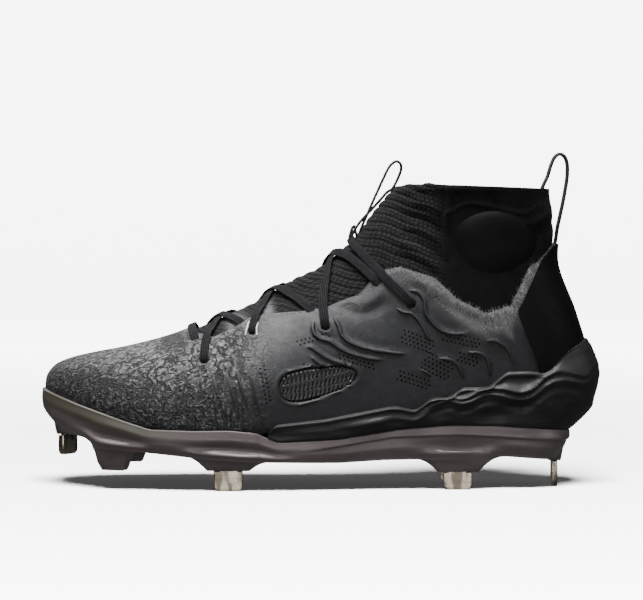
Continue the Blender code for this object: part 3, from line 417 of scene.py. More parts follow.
# The front loop's end under the tongue: section number, and millimetres of lift
FRONT_LOOP_INSIDE = [(11.9, -1.5), (12.8, 0.0), (14.0, 0.0), (15.2, 0.0), (16.4, 0.2)]
FRONT_LOOP_BEND = [
    (-39.6, 162), (-43.2, 169.5), (-44.0, 173.5), (-42.6, 176.0), (-40.2, 175.9), (-37.2, 172.8),
    (-33.6, 165.5), (-28.6, 154.5), (-23.6, 143.2), (-20.2, 136.0),
]


# The last


def lengths(table):
    """A side-view table in metres, its rows in order of x."""
    rows = np.array(table, dtype=float) * np.array([LENGTH, COLLAR_HEIGHT])
    return rows[np.argsort(rows[:, 0])]


def line(table, x):
    """z of a side-view line at x, both in metres, for one x or an array."""
    rows = lengths(table)
    return np.interp(x, rows[:, 0], rows[:, 1])


def seat_level(x):
    """How low the upper comes down to its sole."""
    return np.maximum(line(PLATE_TOP, x), line(FOOT_BED, x))


def section_rows(us):
    """The section table at row numbers us, rounded between its rows."""
    table = np.array(SECTIONS)
    last = len(table) - 1
    i = np.clip(np.floor(us).astype(int), 0, last - 1)
    t = (us - i)[:, None]
    rows = [table[np.clip(i + k, 0, last)] for k in (-1, 0, 1, 2)]
    slope_a = np.where((i == 0)[:, None], rows[2] - rows[1], (rows[2] - rows[0]) / 2)
    slope_b = np.where((i == last - 1)[:, None], rows[2] - rows[1], (rows[3] - rows[1]) / 2)
    h00 = 2 * t**3 - 3 * t**2 + 1
    h10 = t**3 - 2 * t**2 + t
    h01 = -2 * t**3 + 3 * t**2
    h11 = t**3 - t**2
    return h00 * rows[1] + h10 * slope_a + h01 * rows[2] + h11 * slope_b


def form_points(us, angles):
    """Points of the last: us has one value a row, angles a row of values each."""
    columns = section_rows(np.asarray(us, dtype=float))
    tx, tz, bx, bz, outer, inner, crest, widest, top_square, base_square = [c[:, None] for c in columns.T]
    sine = np.clip(np.sin(np.abs(angles)), 0, None)
    cosine = np.cos(angles)
    upper_half = cosine >= 0
    across = np.where(upper_half, sine ** (2 / top_square), sine ** (2 / base_square))
    depth = np.abs(cosine)
    down = np.where(
        upper_half,
        widest * (1 - depth ** (2 / top_square)),
        widest + (1 - widest) * depth ** (2 / base_square),
    )
    reach = np.where(angles >= 0, outer - crest, inner - crest)
    x = (tx + (bx - tx) * down) * LENGTH
    y = (crest + reach * across) * BALL_WIDTH
    z = (tz + (bz - tz) * down) * COLLAR_HEIGHT
    return np.stack([x, y, z], axis=-1)


def form_normals(us, angles):
    """Outward normals of the last, from its points close by."""
    last = len(SECTIONS) - 1
    us = np.clip(us, 0.12, last)
    step = 0.04
    along = form_points(np.minimum(us + step, last), angles) - form_points(us - step, angles)
    around = form_points(us, angles + step) - form_points(us, angles - step)
    normal = np.cross(around, along)
    return normal / np.maximum(np.linalg.norm(normal, axis=-1, keepdims=True), 1e-12)


def form_point(u, angle):
    """One point of the last."""
    return Vector(form_points(np.array([u]), np.array([[angle]]))[0, 0])


def form_normal(u, angle):
    """The outward normal at one point of the last."""
    return Vector(form_normals(np.array([u]), np.array([[angle]]))[0, 0])


def row_numbers(first, last, step):
    """Section numbers whose rows lie about one step apart where they fan out most."""
    probes = np.array([[0.0, 1.2, -1.2, 1.75, -1.75]])
    us = [float(first)]
    low = first
    while low < last:
        high = min(math.floor(low) + 1, last)
        ends = form_points(np.array([low, high]), np.repeat(probes, 2, axis=0))
        reach = np.linalg.norm(ends[1] - ends[0], axis=-1).max()
        count = max(2, math.ceil(reach / step))
        us += [low + (high - low) * (i + 1) / count for i in range(count)]
        low = high
    return np.array(us)


def even_angles(us, half):
    """For each row, angles that split its girth evenly, with fewer of them under the foot."""
    fine = np.linspace(0, math.pi, 500)
    shares = np.linspace(0, 1, half + 1)
    shares = np.where(shares < 0.86, shares / 0.86 * 0.72, 0.72 + (shares - 0.86) / 0.14 * 0.28)
    rows = []
    for u in us:
        sides = []
        for sign in (1, -1):
            points = form_points(np.array([u]), sign * fine[None, :])[0]
            run = np.concatenate([[0], np.cumsum(np.linalg.norm(np.diff(points, axis=0), axis=1))])
            sides.append(sign * np.interp(shares * run[-1], run, fine))
        rows.append(np.concatenate([sides[0], sides[1][-2:0:-1]]))
    return np.array(rows)


class Sheet:
    """A fine open sheet of the last, with a normal for every point, ready to be lifted and trimmed."""

    def __init__(self, first, last, step, half):
        self.us = row_numbers(first, last, step)
        self.angles = even_angles(self.us, half)
        self.points = form_points(self.us, self.angles)
        self.normals = form_normals(self.us, self.angles)

    def lift(self, height):
        """Moves every point out along its normal."""
        self.points = self.points + self.normals * np.asarray(height)[..., None]

    def mesh(self):
        """The sheet as a bmesh, with one face between each four neighbours."""
        bm = bmesh.new()
        rows, columns, _ = self.points.shape
        verts = [bm.verts.new(p) for p in self.points.reshape(-1, 3)]
        for i in range(rows - 1):
            for j in range(columns):
                k = (j + 1) % columns
                a, b = i * columns, (i + 1) * columns
                bm.faces.new((verts[a + j], verts[a + k], verts[b + k], verts[b + j]))
        return bm


def trim(bm, field, snap=0.28):
    """Cuts the sheet along field = 0 and keeps the side where field is positive."""
    places = np.array([v.co for v in bm.verts])
    value = dict(zip(bm.verts, (float(f) for f in field(places))))
    moves = {}
    for edge in bm.edges:
        a, b = edge.verts
        if value[a] * value[b] >= 0:
            continue
        t = value[a] / (value[a] - value[b])
        for vert, other, share in ((a, b, t), (b, a, 1 - t)):
            if share < snap and share < moves.get(vert, (1.0, None))[0]:
                moves[vert] = (share, vert.co.lerp(other.co, share))
    for vert, (_, place) in moves.items():
        vert.co = place
        value[vert] = 0.0
    for edge in list(bm.edges):
        a, b = edge.verts
        if value[a] * value[b] >= 0:
            continue
        t = value[a] / (value[a] - value[b])
        _, vert = bmesh.utils.edge_split(edge, a, t)
        value[vert] = 0.0
    for face in list(bm.faces):
        signs = [value[v] for v in face.verts]
        if min(signs) >= 0 or max(signs) <= 0:
            continue
        zeros = [v for v in face.verts if value[v] == 0.0]
        if len(zeros) >= 2:
            bmesh.utils.face_split(face, zeros[0], zeros[-1])
    dropped = []
    for face in bm.faces:
        signs = [value[v] for v in face.verts]
        if min(signs) < 0 or max(signs) <= 0:
            dropped.append(face)
    bmesh.ops.delete(bm, geom=dropped, context="FACES")
    loose = [v for v in bm.verts if not v.link_faces]
    bmesh.ops.delete(bm, geom=loose, context="VERTS")


def thicken(bm, wall):
    """Closes an open sheet into a wall on its inner side, and returns how many points are outside."""
    bmesh.ops.remove_doubles(bm, verts=bm.verts, dist=0.02 * MM)
    bmesh.ops.recalc_face_normals(bm, faces=bm.faces)
    bm.normal_update()
    outer = list(bm.verts)
    inner = {v: bm.verts.new(v.co - v.normal * wall) for v in outer}
    faces = list(bm.faces)
    rim_loops = []
    for edge in bm.edges:
        if len(edge.link_faces) == 1:
            loop = edge.link_loops[0]
            rim_loops.append((loop.vert, loop.link_loop_next.vert))
    for face in faces:
        bm.faces.new([inner[v] for v in reversed(face.verts)])
    for a, b in rim_loops:
        bm.faces.new((b, a, inner[a], inner[b]))
    return len(outer)


# Making pieces


def stretch_toe(obj):
    """Carries the toe forward by TOE_REACH, more the nearer it is to the tip."""
    p = places_of(obj)
    share = np.clip((p[:, 0] - TOE_REACH_FROM) / (LENGTH / 2 - TOE_REACH_FROM), 0, None)
    p[:, 0] += TOE_REACH * share**2
    obj.data.vertices.foreach_set("co", p.ravel())
    obj.data.update()


def settle(obj, *nodes, slot):
    """Every finished piece rides on the shoe and stands for its CAD nodes."""
    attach(obj, "root")
    if nodes:
        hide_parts(*nodes)
    return obj


def add_piece(name, bm, finish, angle=40.0, outward=True):
    """Makes the bmesh into a named object with outward faces."""
    if outward:
        bmesh.ops.recalc_face_normals(bm, faces=bm.faces)
    mesh = bpy.data.meshes.new(name)
    bm.to_mesh(mesh)
    bm.free()
    mesh.materials.append(finish)
    mesh.shade_smooth()
    mesh.set_sharp_from_angle(angle=math.radians(angle))
    obj = bpy.data.objects.new(name, mesh)
    bpy.context.scene.collection.objects.link(obj)
    return obj


def bake_modifiers(obj):
    """Turns the object with its modifiers into a plain mesh."""
    bpy.context.view_layer.update()
    graph = bpy.context.evaluated_depsgraph_get()
    mesh = bpy.data.meshes.new_from_object(obj.evaluated_get(graph))
    obj.modifiers.clear()
    old = obj.data
    obj.data = mesh
    bpy.data.meshes.remove(old)
    return obj


def thin_lining(obj, outside):
    """Makes the inner face of a wall coarser, because only a little of it is seen."""
    count = len(obj.data.vertices)
    group = obj.vertex_groups.new(name="lining")
    group.add(list(range(outside, count)), 1.0, "REPLACE")
    thin = obj.modifiers.new("thin", "DECIMATE")
    thin.vertex_group = "lining"
    thin.ratio = (1 + LINING_SHARE) / 2
    thin.use_collapse_triangulate = True
    bake_modifiers(obj)
    obj.vertex_groups.clear()
    return obj


def write_values(obj, name, values):
    """A named number for every point, which a finish reads."""
    layer = obj.data.attributes.new(name, "FLOAT", "POINT")
    layer.data.foreach_set("value", np.asarray(values, dtype=np.float32))


def places_of(obj):
    """The object's points, one a row."""
    flat = np.empty(len(obj.data.vertices) * 3)
    obj.data.vertices.foreach_get("co", flat)
    return flat.reshape(-1, 3)


def cut(obj, cutter):
    """Takes the cutter's volume out of the object."""
    modifier = obj.modifiers.new("cut", "BOOLEAN")
    modifier.operation = "DIFFERENCE"
    modifier.solver = "EXACT"
    modifier.object = cutter
    bake_modifiers(obj)
    bpy.data.objects.remove(cutter, do_unlink=True)


def rounded_path(points, steps):
    """A rounded path through the given points."""
    points = [np.array(p, dtype=float) for p in points]
    count = len(points)
    path = []
    for i in range(count - 1):
        a, b, c, d = [points[min(max(i + k, 0), count - 1)] for k in (-1, 0, 1, 2)]
        for k in range(steps):
            t = k / steps
            path.append(0.5 * (2 * b + (c - a) * t + (2 * a - 5 * b + 4 * c - d) * t * t
                               + (3 * b - a - 3 * c + d) * t**3))
    path.append(points[-1])
    return np.array(path)


def way_at(points, i):
    """The direction of a path at its point number i."""
    return (points[min(i + 1, len(points) - 1)] - points[max(i - 1, 0)]).normalized()


def bridge(bm, low, high, closed=True):
    """Faces between two rows of points, round to their first ones again where the rows are closed."""
    count = len(low)
    for j in range(count if closed else count - 1):
        k = (j + 1) % count
        bm.faces.new((low[j], low[k], high[k], high[j]))


def path_distance(x, z, path):
    """Distance of side-view points from a path, which side they lie on, and how far along they are."""
    spots = np.stack([x, z], axis=-1)[:, None, :]
    start = path[None, :-1]
    run = path[None, 1:] - start
    length = np.linalg.norm(run, axis=-1)
    share = np.clip(((spots - start) * run).sum(-1) / np.maximum(length**2, 1e-12), 0, 1)
    away = spots - (start + run * share[..., None])
    distance = np.linalg.norm(away, axis=-1)
    nearest = distance.argmin(axis=1)
    rows = np.arange(len(nearest))
    cross = run[..., 0] * away[..., 1] - run[..., 1] * away[..., 0]
    before = np.concatenate([[0], np.cumsum(length[0])[:-1]])
    along = before[nearest] + share[rows, nearest] * length[0][nearest]
    return distance[rows, nearest], np.sign(cross[rows, nearest]), along, length.sum()


def bead_relief(x, z, beads, trough=0.5):
    """Height in millimetres of raised beads with a soft trough on their lower side."""
    height = np.zeros_like(x)
    for rise, width, points in beads:
        path = rounded_path(points, 6)
        low = path.min(axis=0) - 5 * width
        high = path.max(axis=0) + 5 * width
        near = np.flatnonzero((x > low[0]) & (x < high[0]) & (z > low[1]) & (z < high[1]))
        if not len(near):
            continue
        distance, side, along, total = path_distance(x[near], z[near], path)
        fade = np.clip(np.minimum(along, total - along) / 5.0 + 0.15, 0, 1)
        lower = bell(distance * side, -1.9 * width, width)
        height[near] += rise * fade * (bell(distance, 0.0, width) - trough * lower)
    return height


def blobs(x, z, table):
    """Sum of soft blobs of the side view."""
    total = np.zeros_like(x)
    for bx, bz, rx, rz, amount in table:
        total += amount * bell(x, bx, rx) * bell(z, bz, rz)
    return total


def smooth_step(value, low, high):
    """0 up to low and 1 from high on, with a soft rise between. It falls where high is under low."""
    t = np.clip((value - low) / (high - low), 0, 1)
    return t * t * (3 - 2 * t)


def bell(value, middle, width):
    """1 at the middle, and less to both sides of it."""
    return np.exp(-(((value - middle) / width) ** 2))


def soft(table, reach, x_share=LENGTH, z_share=COLLAR_HEIGHT):
    """A side-view line, rounded over reach metres."""
    xs = np.linspace(-0.55 * LENGTH, 0.55 * LENGTH, 900)
    given = np.array(sorted(table))
    zs = np.interp(xs, given[:, 0] * x_share, given[:, 1] * z_share)
    width = reach / (xs[1] - xs[0])
    span = np.arange(-int(3 * width), int(3 * width) + 1)
    kernel = bell(span, 0, width)
    kernel = kernel / kernel.sum()
    padded = np.pad(zs, len(span) // 2, mode="edge")
    zs = np.convolve(padded, kernel, mode="valid")
    return lambda x: np.interp(x, xs, zs)


# Finishes


class Finish:
    """A material built one node at a time."""

    def __init__(self, name, colour, roughness=0.5, metallic=0.0, **sockets):
        self.material = bpy.data.materials.new(name)
        self.material.use_nodes = True
        self.nodes = self.material.node_tree.nodes
        self.links = self.material.node_tree.links
        self.shader = self.nodes["Principled BSDF"]
        self.normal = None
        self.set(self.shader, "Base Color", colour)
        self.set(self.shader, "Roughness", roughness)
        self.set(self.shader, "Metallic", metallic)
        for socket, value in sockets.items():
            self.set(self.shader, socket.replace("_", " "), value)
        self.material.diffuse_color = (*colour, 1.0)

    def set(self, node, socket, value):
        """Links a socket, or gives it a value."""
        if isinstance(value, bpy.types.NodeSocket):
            self.links.new(value, node.inputs[socket])
        elif isinstance(value, tuple) and len(value) == 3 and node.inputs[socket].type == "RGBA":
            node.inputs[socket].default_value = (*value, 1.0)
        else:
            node.inputs[socket].default_value = value

    def node(self, kind, output=0, options=(), **sockets):
        """A new node's output, with sockets by name, or by number as n0, n1 and so on."""
        made = self.nodes.new(kind)
        for option, value in dict(options).items():
            setattr(made, option, value)
        for socket, value in sockets.items():
            numbered = socket[0] == "n" and socket[1:].isdigit()
            self.set(made, int(socket[1:]) if numbered else socket.replace("_", " "), value)
        return made.outputs[output]

    def place(self, stretch=(1, 1, 1), turn=(0, 0, 0), flat=False):
        """Object coordinates in millimetres, or the piece's own flat map."""
        source = self.node("ShaderNodeTexCoord", "UV" if flat else "Object")
        scale = tuple(1000 * s for s in stretch) if not flat else stretch
        return self.node("ShaderNodeMapping", 0, (), Vector=source, Scale=scale,
                         Rotation=tuple(math.radians(t) for t in turn))

    def noise(self, vector, size, detail=2.0, rough=0.5, warp=0.0):
        """Cloudy noise whose patches are about size millimetres across."""
        return self.node("ShaderNodeTexNoise", 0, (), Vector=vector, Scale=1 / size, Detail=detail,
                         Roughness=rough, Distortion=warp)

    def read(self, name):
        """A value that write_values put on the piece."""
        return self.node("ShaderNodeAttribute", "Fac", {"attribute_name": name})

    def math(self, operation, a, b=0.0):
        return self.node("ShaderNodeMath", 0, {"operation": operation}, n0=a, n1=b)

    def times(self, a, b):
        return self.math("MULTIPLY", a, b)

    def plus(self, a, b):
        return self.math("ADD", a, b)

    def minus(self, a, b):
        return self.math("SUBTRACT", a, b)

    def tint(self, value, low, high, first, second):
        """The first colour where value is under low, the second where it is over high."""
        return self.mix(self.range(value, low, high), first, second)

    def uneven(self, vector, size, detail, low, high):
        """Roughness that drifts between two values in patches of the given size."""
        self.roughness(self.range(self.noise(vector, size, detail), 0.3, 0.7, low, high))

    def bricks(self, vector, gap, soft_gap, width, height):
        """0 on bricks and 1 between them, sizes in millimetres."""
        return self.node("ShaderNodeTexBrick", "Fac", {"offset": 0.5}, Vector=vector, Scale=1.0,
                         Mortar_Size=gap, Mortar_Smooth=soft_gap, Brick_Width=width, Row_Height=height)

    def range(self, value, low, high, to_low=0.0, to_high=1.0):
        return self.node("ShaderNodeMapRange", 0, {"interpolation_type": "SMOOTHSTEP"}, Value=value,
                         From_Min=low, From_Max=high, To_Min=to_low, To_Max=to_high)

    def mix(self, share, a, b):
        made = self.nodes.new("ShaderNodeMix")
        made.data_type = "RGBA"
        self.set(made, 0, share)
        self.set(made, 6, a)
        self.set(made, 7, b)
        return made.outputs[2]

    def bump(self, height, depth, strength=1.0):
        """Adds relief: depth is in millimetres."""
        made = self.nodes.new("ShaderNodeBump")
        self.set(made, "Height", height)
        made.inputs["Distance"].default_value = depth * MM
        self.set(made, "Strength", strength)
        if self.normal:
            self.links.new(self.normal, made.inputs["Normal"])
        self.normal = made.outputs["Normal"]
        self.links.new(self.normal, self.shader.inputs["Normal"])

    def colour(self, value):
        self.set(self.shader, "Base Color", value)

    def roughness(self, value):
        self.set(self.shader, "Roughness", value)


def skin_finish():
    """Moulded skin over knit: wormy emboss in front with painted glints on its tops and painted shade in its
    valleys, fine threads on the side, fibres at its top edge.
    """
    f = Finish("moulded_skin_finish", (0.03, 0.032, 0.036), 0.5, Specular_IOR_Level=0.33)
    place = f.place()
    emboss_mask = f.read("emboss")
    light = f.read("light")
    fuzz = f.read("fuzz")
    vent = f.read("vent")
    drift = f.noise(place, 5.0, 1.0)
    field = f.noise(place, 5.2, 1.0, 0.5, 0.6)
    long_field = f.noise(f.place((1.0, 1.0, 0.24)), 6.6, 1.0, 0.5, 0.4)
    worms = f.math("SINE", f.times(field, 23.0))
    upright = f.math("SINE", f.times(long_field, 21.0))
    worms = f.mix(f.read("upright"), worms, upright)
    worms = f.range(worms, -0.50, 0.30)
    grain = f.range(f.noise(place, 0.75, 2.0, 0.6), 0.36, 0.62)
    relief = f.times(f.plus(f.times(worms, 0.68), f.times(grain, 0.32)), emboss_mask)
    valley_shade = f.times(f.minus(1.0, worms), emboss_mask)
    # Painted highlight: pale glints on the emboss's raised tops, brighter where the skin's grey is lighter.
    glint = f.times(relief, f.range(f.noise(place, 1.5, 2.0, 0.6), 0.50, 0.66))
    threads = f.noise(f.place((0.35, 1.0, 2.6)), 0.55, 2.0, 0.6)
    fibres = f.noise(f.place((2.6, 1.0, 0.5)), 0.5, 3.0, 0.65, 0.6)
    dark = f.tint(drift, 0.35, 0.65, (0.0062, 0.0065, 0.0082), (0.0085, 0.0089, 0.0111))
    grey = f.tint(drift, 0.35, 0.65, (0.115, 0.115, 0.117), (0.150, 0.150, 0.152))
    # The grey runs from dark to light by the light value, which holds painted shade, darker low on the sides
    # and at the toe, as well as the skin's own tones.
    body = f.tint(light, 0.0, 1.0, dark, grey)
    # Painted shade: the emboss's valleys coloured near black.
    sunk = f.mix(valley_shade, body, (0.0040, 0.0040, 0.0045))
    painted_glints = f.mix(f.times(f.times(glint, f.plus(light, 0.34)), 0.75), sunk, (0.42, 0.42, 0.422))
    speck = f.mix(f.times(fuzz, f.range(fibres, 0.42, 0.62)), painted_glints, (0.34, 0.335, 0.34))
    gap = f.mix(f.times(fuzz, f.range(fibres, 0.50, 0.36)), speck, (0.012, 0.012, 0.013))
    f.colour(f.mix(vent, gap, (0.006, 0.006, 0.007)))
    plain = f.minus(1.0, emboss_mask)
    f.bump(relief, 1.5)
    f.bump(f.times(threads, plain), 0.12)
    f.bump(f.times(fibres, fuzz), 0.7)
    f.bump(f.noise(place, 0.35, 2.0), 0.05)
    rough = f.range(f.noise(place, 3.0, 2.0), 0.3, 0.7, 0.42, 0.56)
    rough = f.plus(rough, f.times(fuzz, 0.3))
    rough = f.minus(rough, f.times(relief, 0.08))
    f.roughness(f.minus(rough, f.times(vent, 0.25)))
    return f.material


def knit_finish():
    """Black knit: blocks of ribs in front, a close smooth knit behind."""
    f = Finish("knit_finish", (0.006, 0.006, 0.0065), 0.92, Sheen_Weight=0.02, Sheen_Roughness=0.45,
               Specular_IOR_Level=0.15)
    flat = f.place(flat=True)
    blocks = f.bricks(flat, 0.42, 0.6, 2.6, KNIT_PITCH / 2)
    loops = f.node("ShaderNodeTexWave", "Fac", {"bands_direction": "X"}, Vector=flat, Scale=0.42,
                   Distortion=0.6, Detail=1.0)
    courses = f.node("ShaderNodeTexWave", "Fac", {"bands_direction": "Y"}, Vector=flat, Scale=0.5,
                     Distortion=0.8, Detail=1.0)
    fine = f.times(loops, courses)
    lift = f.times(f.minus(1.0, blocks), f.read("ribbed"))
    mottle = f.noise(f.place(), 6.0, 3.0)
    base = f.tint(mottle, 0.3, 0.7, (0.0014, 0.0014, 0.0016), (0.0026, 0.0026, 0.0029))
    # Painted light: the raised blocks are coloured lighter than the knit between them, as if lit on their
    # tops.
    lit = f.mix(lift, base, (0.016, 0.016, 0.0168))
    f.colour(f.mix(f.read("pale"), lit, (0.16, 0.16, 0.165)))
    f.bump(lift, 0.8)
    f.bump(fine, 0.16)
    f.bump(f.noise(f.place(), 0.5, 2.0), 0.06)
    return f.material


def foam_finish():
    """Satin black foam with a moulded surface."""
    f = Finish("foam_finish", (0.012, 0.012, 0.013), 0.42, Specular_IOR_Level=0.42)
    place = f.place()
    cloud = f.noise(place, 9.0, 3.0)
    f.colour(f.tint(cloud, 0.3, 0.7, (0.0062, 0.0062, 0.0072), (0.0094, 0.0094, 0.0107)))
    f.uneven(place, 2.5, 3.0, 0.48, 0.60)
    f.bump(f.noise(place, 0.45, 3.0, 0.6), 0.05)
    f.bump(cloud, 0.10)
    return f.material


def plate_finish():
    """Brown-grey plastic, half clear, with flow lines."""
    f = Finish("plate_plastic_finish", (0.11, 0.09, 0.088), 0.3, Specular_IOR_Level=0.55, IOR=1.5,
               Coat_Weight=0.12, Coat_Roughness=0.3)
    flow = f.noise(f.place((0.25, 0.6, 1.0), (0, 12, 0)), 7.0, 2.0, 0.45)
    base = f.tint(flow, 0.3, 0.7, (0.092, 0.073, 0.074), (0.124, 0.100, 0.101))
    # Painted shade under the band's step and towards the bottom, and a darker upper band in front.
    shaded = f.mix(f.read("plate_shade"), base, (0.055, 0.036, 0.037))
    f.colour(f.mix(f.read("olive"), shaded, (0.064, 0.058, 0.043)))
    f.uneven(f.place(), 4.0, 3.0, 0.36, 0.46)
    f.bump(flow, 0.06)
    return f.material


def metal_finish():
    """Pale gold plated steel, brushed along the blade, with dark reflections painted on in patches."""
    f = Finish("blade_metal_finish", (0.85, 0.76, 0.62), 0.3, 1.0)
    grain = f.noise(f.place((0.15, 0.15, 1.0)), 1.5, 2.0)
    dark_reflections = f.noise(f.place((1.0, 1.0, 0.3)), 4.2, 1.0)
    # Painted reflection: dark patches over the pale gold.
    f.colour(f.tint(dark_reflections, 0.44, 0.60, (0.56, 0.49, 0.39), (0.20, 0.17, 0.13)))
    f.roughness(f.range(grain, 0.3, 0.7, 0.20, 0.28))
    return f.material


def lace_finish():
    """Charcoal woven lace, its weave across the ribs."""
    f = Finish("lace_finish", (0.006, 0.006, 0.007), 0.75, Sheen_Weight=0.02, Specular_IOR_Level=0.08)
    weave = f.bricks(f.place(flat=True), 0.1, 1.0, 0.8, 0.48)
    shade = f.noise(f.place(), 2.0, 3.0)
    base = f.tint(shade, 0.3, 0.7, (0.022, 0.022, 0.025), (0.034, 0.034, 0.038))
    # Painted shade: the grooves between the ribs coloured near black.
    base = f.tint(f.read("ridge"), 0.40, 0.90, (0.0006, 0.0006, 0.0008), base)
    f.colour(f.mix(weave, base, (0.0015, 0.0015, 0.0018)))
    f.bump(f.minus(1.0, weave), 0.14)
    return f.material


def webbing_finish():
    """Black woven tape of the pull loops."""
    f = Finish("webbing_finish", (0.008, 0.008, 0.009), 0.8, Sheen_Weight=0.05)
    weave = f.bricks(f.place(flat=True), 0.12, 1.0, 0.9, 0.7)
    shade = f.noise(f.place(), 3.0, 3.0)
    base = f.tint(shade, 0.3, 0.7, (0.005, 0.005, 0.006), (0.010, 0.010, 0.011))
    f.colour(f.mix(weave, base, (0.005, 0.005, 0.005)))
    f.bump(f.minus(1.0, weave), 0.15)
    return f.material


def pad_finish():
    """Close black stretch cloth over the ankle pad."""
    f = Finish("padding_finish", (0.005, 0.005, 0.006), 0.60, Sheen_Weight=0.012, Sheen_Roughness=0.4,
               Specular_IOR_Level=0.11)
    place = f.place()
    cells = f.node("ShaderNodeTexVoronoi", "Distance", (), Vector=place, Scale=1.6)
    shade = f.noise(place, 7.0, 2.0)
    f.colour(f.tint(shade, 0.3, 0.7, (0.0006, 0.0006, 0.0007), (0.0012, 0.0012, 0.0014)))
    f.bump(cells, 0.06)
    f.bump(f.noise(place, 0.4, 2.0), 0.04)
    return f.material


def film_finish():
    """Matt black film at the heel."""
    f = Finish("heel_film_finish", (0.004, 0.004, 0.005), 0.6, Specular_IOR_Level=0.12)
    place = f.place()
    f.colour(f.tint(f.noise(place, 8.0, 2.0), 0.3, 0.7, (0.0014, 0.0014, 0.0016), (0.0022, 0.0022, 0.0025)))
    f.uneven(place, 3.0, 3.0, 0.48, 0.62)
    f.bump(f.noise(place, 0.5, 3.0), 0.06)
    return f.material


def insole_finish():
    """Dark brushed cloth over the insole."""
    f = Finish("insole_finish", (0.02, 0.02, 0.022), 0.9, Sheen_Weight=0.3)
    place = f.place()
    weave = f.node("ShaderNodeTexVoronoi", "Distance", (), Vector=place, Scale=1.1)
    f.colour(f.tint(f.noise(place, 6.0, 3.0), 0.3, 0.7, (0.018, 0.018, 0.020), (0.030, 0.030, 0.033)))
    f.bump(weave, 0.15)
    return f.material


def vent_finish():
    """Wet-looking black film over the vent's ribs."""
    f = Finish("vent_finish", (0.003, 0.003, 0.0035), 0.3, Specular_IOR_Level=0.45, Coat_Weight=0.15,
               Coat_Roughness=0.1)
    place = f.place()
    f.uneven(place, 1.5, 2.0, 0.22, 0.38)
    f.bump(f.noise(place, 0.7, 2.0), 0.05)
    return f.material


def plain_finish(name, colour, roughness, shine=0.5):
    """One colour, a little mottled and grainy."""
    f = Finish(name, colour, roughness, Specular_IOR_Level=shine)
    darker = tuple(0.75 * c for c in colour)
    f.colour(f.tint(f.noise(f.place(), 1.2, 2.0), 0.3, 0.7, darker, colour))
    f.bump(f.noise(f.place(), 0.3, 2.0), 0.05)
    return f.material


# The stage


def make_camera():
    """The photo's view: from the shoe's outer side, a little above it."""
    camera = bpy.data.cameras.new("camera")
    camera.lens = CAMERA_LENS
    camera.sensor_width = CAMERA_FILM
    obj = bpy.data.objects.new("camera", camera)
    obj.location = CAMERA_PLACE
    aim = Vector(CAMERA_AIM) - obj.location
    obj.rotation_euler = aim.to_track_quat("-Z", "Y").to_euler()
    bpy.context.scene.collection.objects.link(obj)
    bpy.context.scene.camera = obj


def make_light(name, place, aim, size, size_y, power, receivers):
    """A soft rectangular light that shines on what its receivers' collection says."""
    light = bpy.data.lights.new(name, "AREA")
    light.shape = "RECTANGLE"
    light.size = size
    light.size_y = size_y
    light.energy = power
    obj = bpy.data.objects.new(name, light)
    obj.location = place
    obj.rotation_euler = (Vector(aim) - Vector(place)).to_track_quat("-Z", "Y").to_euler()
    bpy.context.scene.collection.objects.link(obj)
    obj.light_linking.receiver_collection = receivers


def make_floor():
    """A pale round floor that curves up all round, so every view has the same plain ground.

    It returns the collections of what a floor light shines on, and of what the other lights leave out."""
    profile = [(radius, 0.0) for radius in FLOOR_RINGS]
    edge = FLOOR_RINGS[-1]
    for i in range(1, FLOOR_CURVE_STEPS + 1):
        angle = math.pi / 2 * i / FLOOR_CURVE_STEPS
        profile.append((edge + FLOOR_CURVE * math.sin(angle), FLOOR_CURVE - FLOOR_CURVE * math.cos(angle)))
    profile.append((edge + FLOOR_CURVE, FLOOR_TOP))
    bm = bmesh.new()
    rows = []
    for radius, height in profile:
        angles = [2 * math.pi * j / FLOOR_SIDES for j in range(FLOOR_SIDES if radius else 1)]
        rows.append([bm.verts.new((radius * math.cos(a), radius * math.sin(a), height)) for a in angles])
    for j in range(FLOOR_SIDES):
        bm.faces.new((rows[0][0], rows[1][j], rows[1][(j + 1) % FLOOR_SIDES]))
    for low, high in zip(rows[1:], rows[2:]):
        bridge(bm, high, low)
    f = Finish("floor_finish", FLOOR_WHITE, 0.9, Specular_IOR_Level=0.0, Emission_Color=FLOOR_WHITE)
    split = f.nodes.new("ShaderNodeVectorMath")
    split.operation = "LENGTH"
    f.links.new(f.place(), split.inputs[0])
    f.set(f.shader, "Emission Strength", f.range(split.outputs["Value"], *FLOOR_GLOW.values()))
    floor = add_piece("floor", bm, f.material, outward=False)
    floor.visible_diffuse = False
    floor.visible_glossy = False
    only_floor = bpy.data.collections.new("floor_only")
    only_floor.objects.link(floor)
    shoe_only = bpy.data.collections.new("shoe_only")
    shoe_only.objects.link(floor)
    shoe_only.collection_objects[0].light_linking.link_state = "EXCLUDE"
    return only_floor, shoe_only


def make_world():
    """Dim light from all round: a little more from below, as off a white floor."""
    world = bpy.data.worlds.new("world")
    bpy.context.scene.world = world
    world.use_nodes = True
    nodes = world.node_tree.nodes
    links = world.node_tree.links
    place = nodes.new("ShaderNodeTexCoord")
    split = nodes.new("ShaderNodeSeparateXYZ")
    fade = nodes.new("ShaderNodeMapRange")
    for socket, value in zip(("From Min", "From Max", "To Min", "To Max"), WORLD_SLOPES + WORLD_STRENGTHS):
        fade.inputs[socket].default_value = value
    links.new(place.outputs["Generated"], split.inputs["Vector"])
    links.new(split.outputs["Z"], fade.inputs["Value"])
    links.new(fade.outputs["Result"], nodes["Background"].inputs["Strength"])
    nodes["Background"].inputs["Color"].default_value = (1.0, 1.0, 1.0, 1.0)


def make_stage():
    """Floor, surroundings and lights."""
    only_floor, shoe_only = make_floor()
    make_world()
    for *light, on_floor in LIGHTS:
        make_light(*light, only_floor if on_floor else shoe_only)


# The pieces


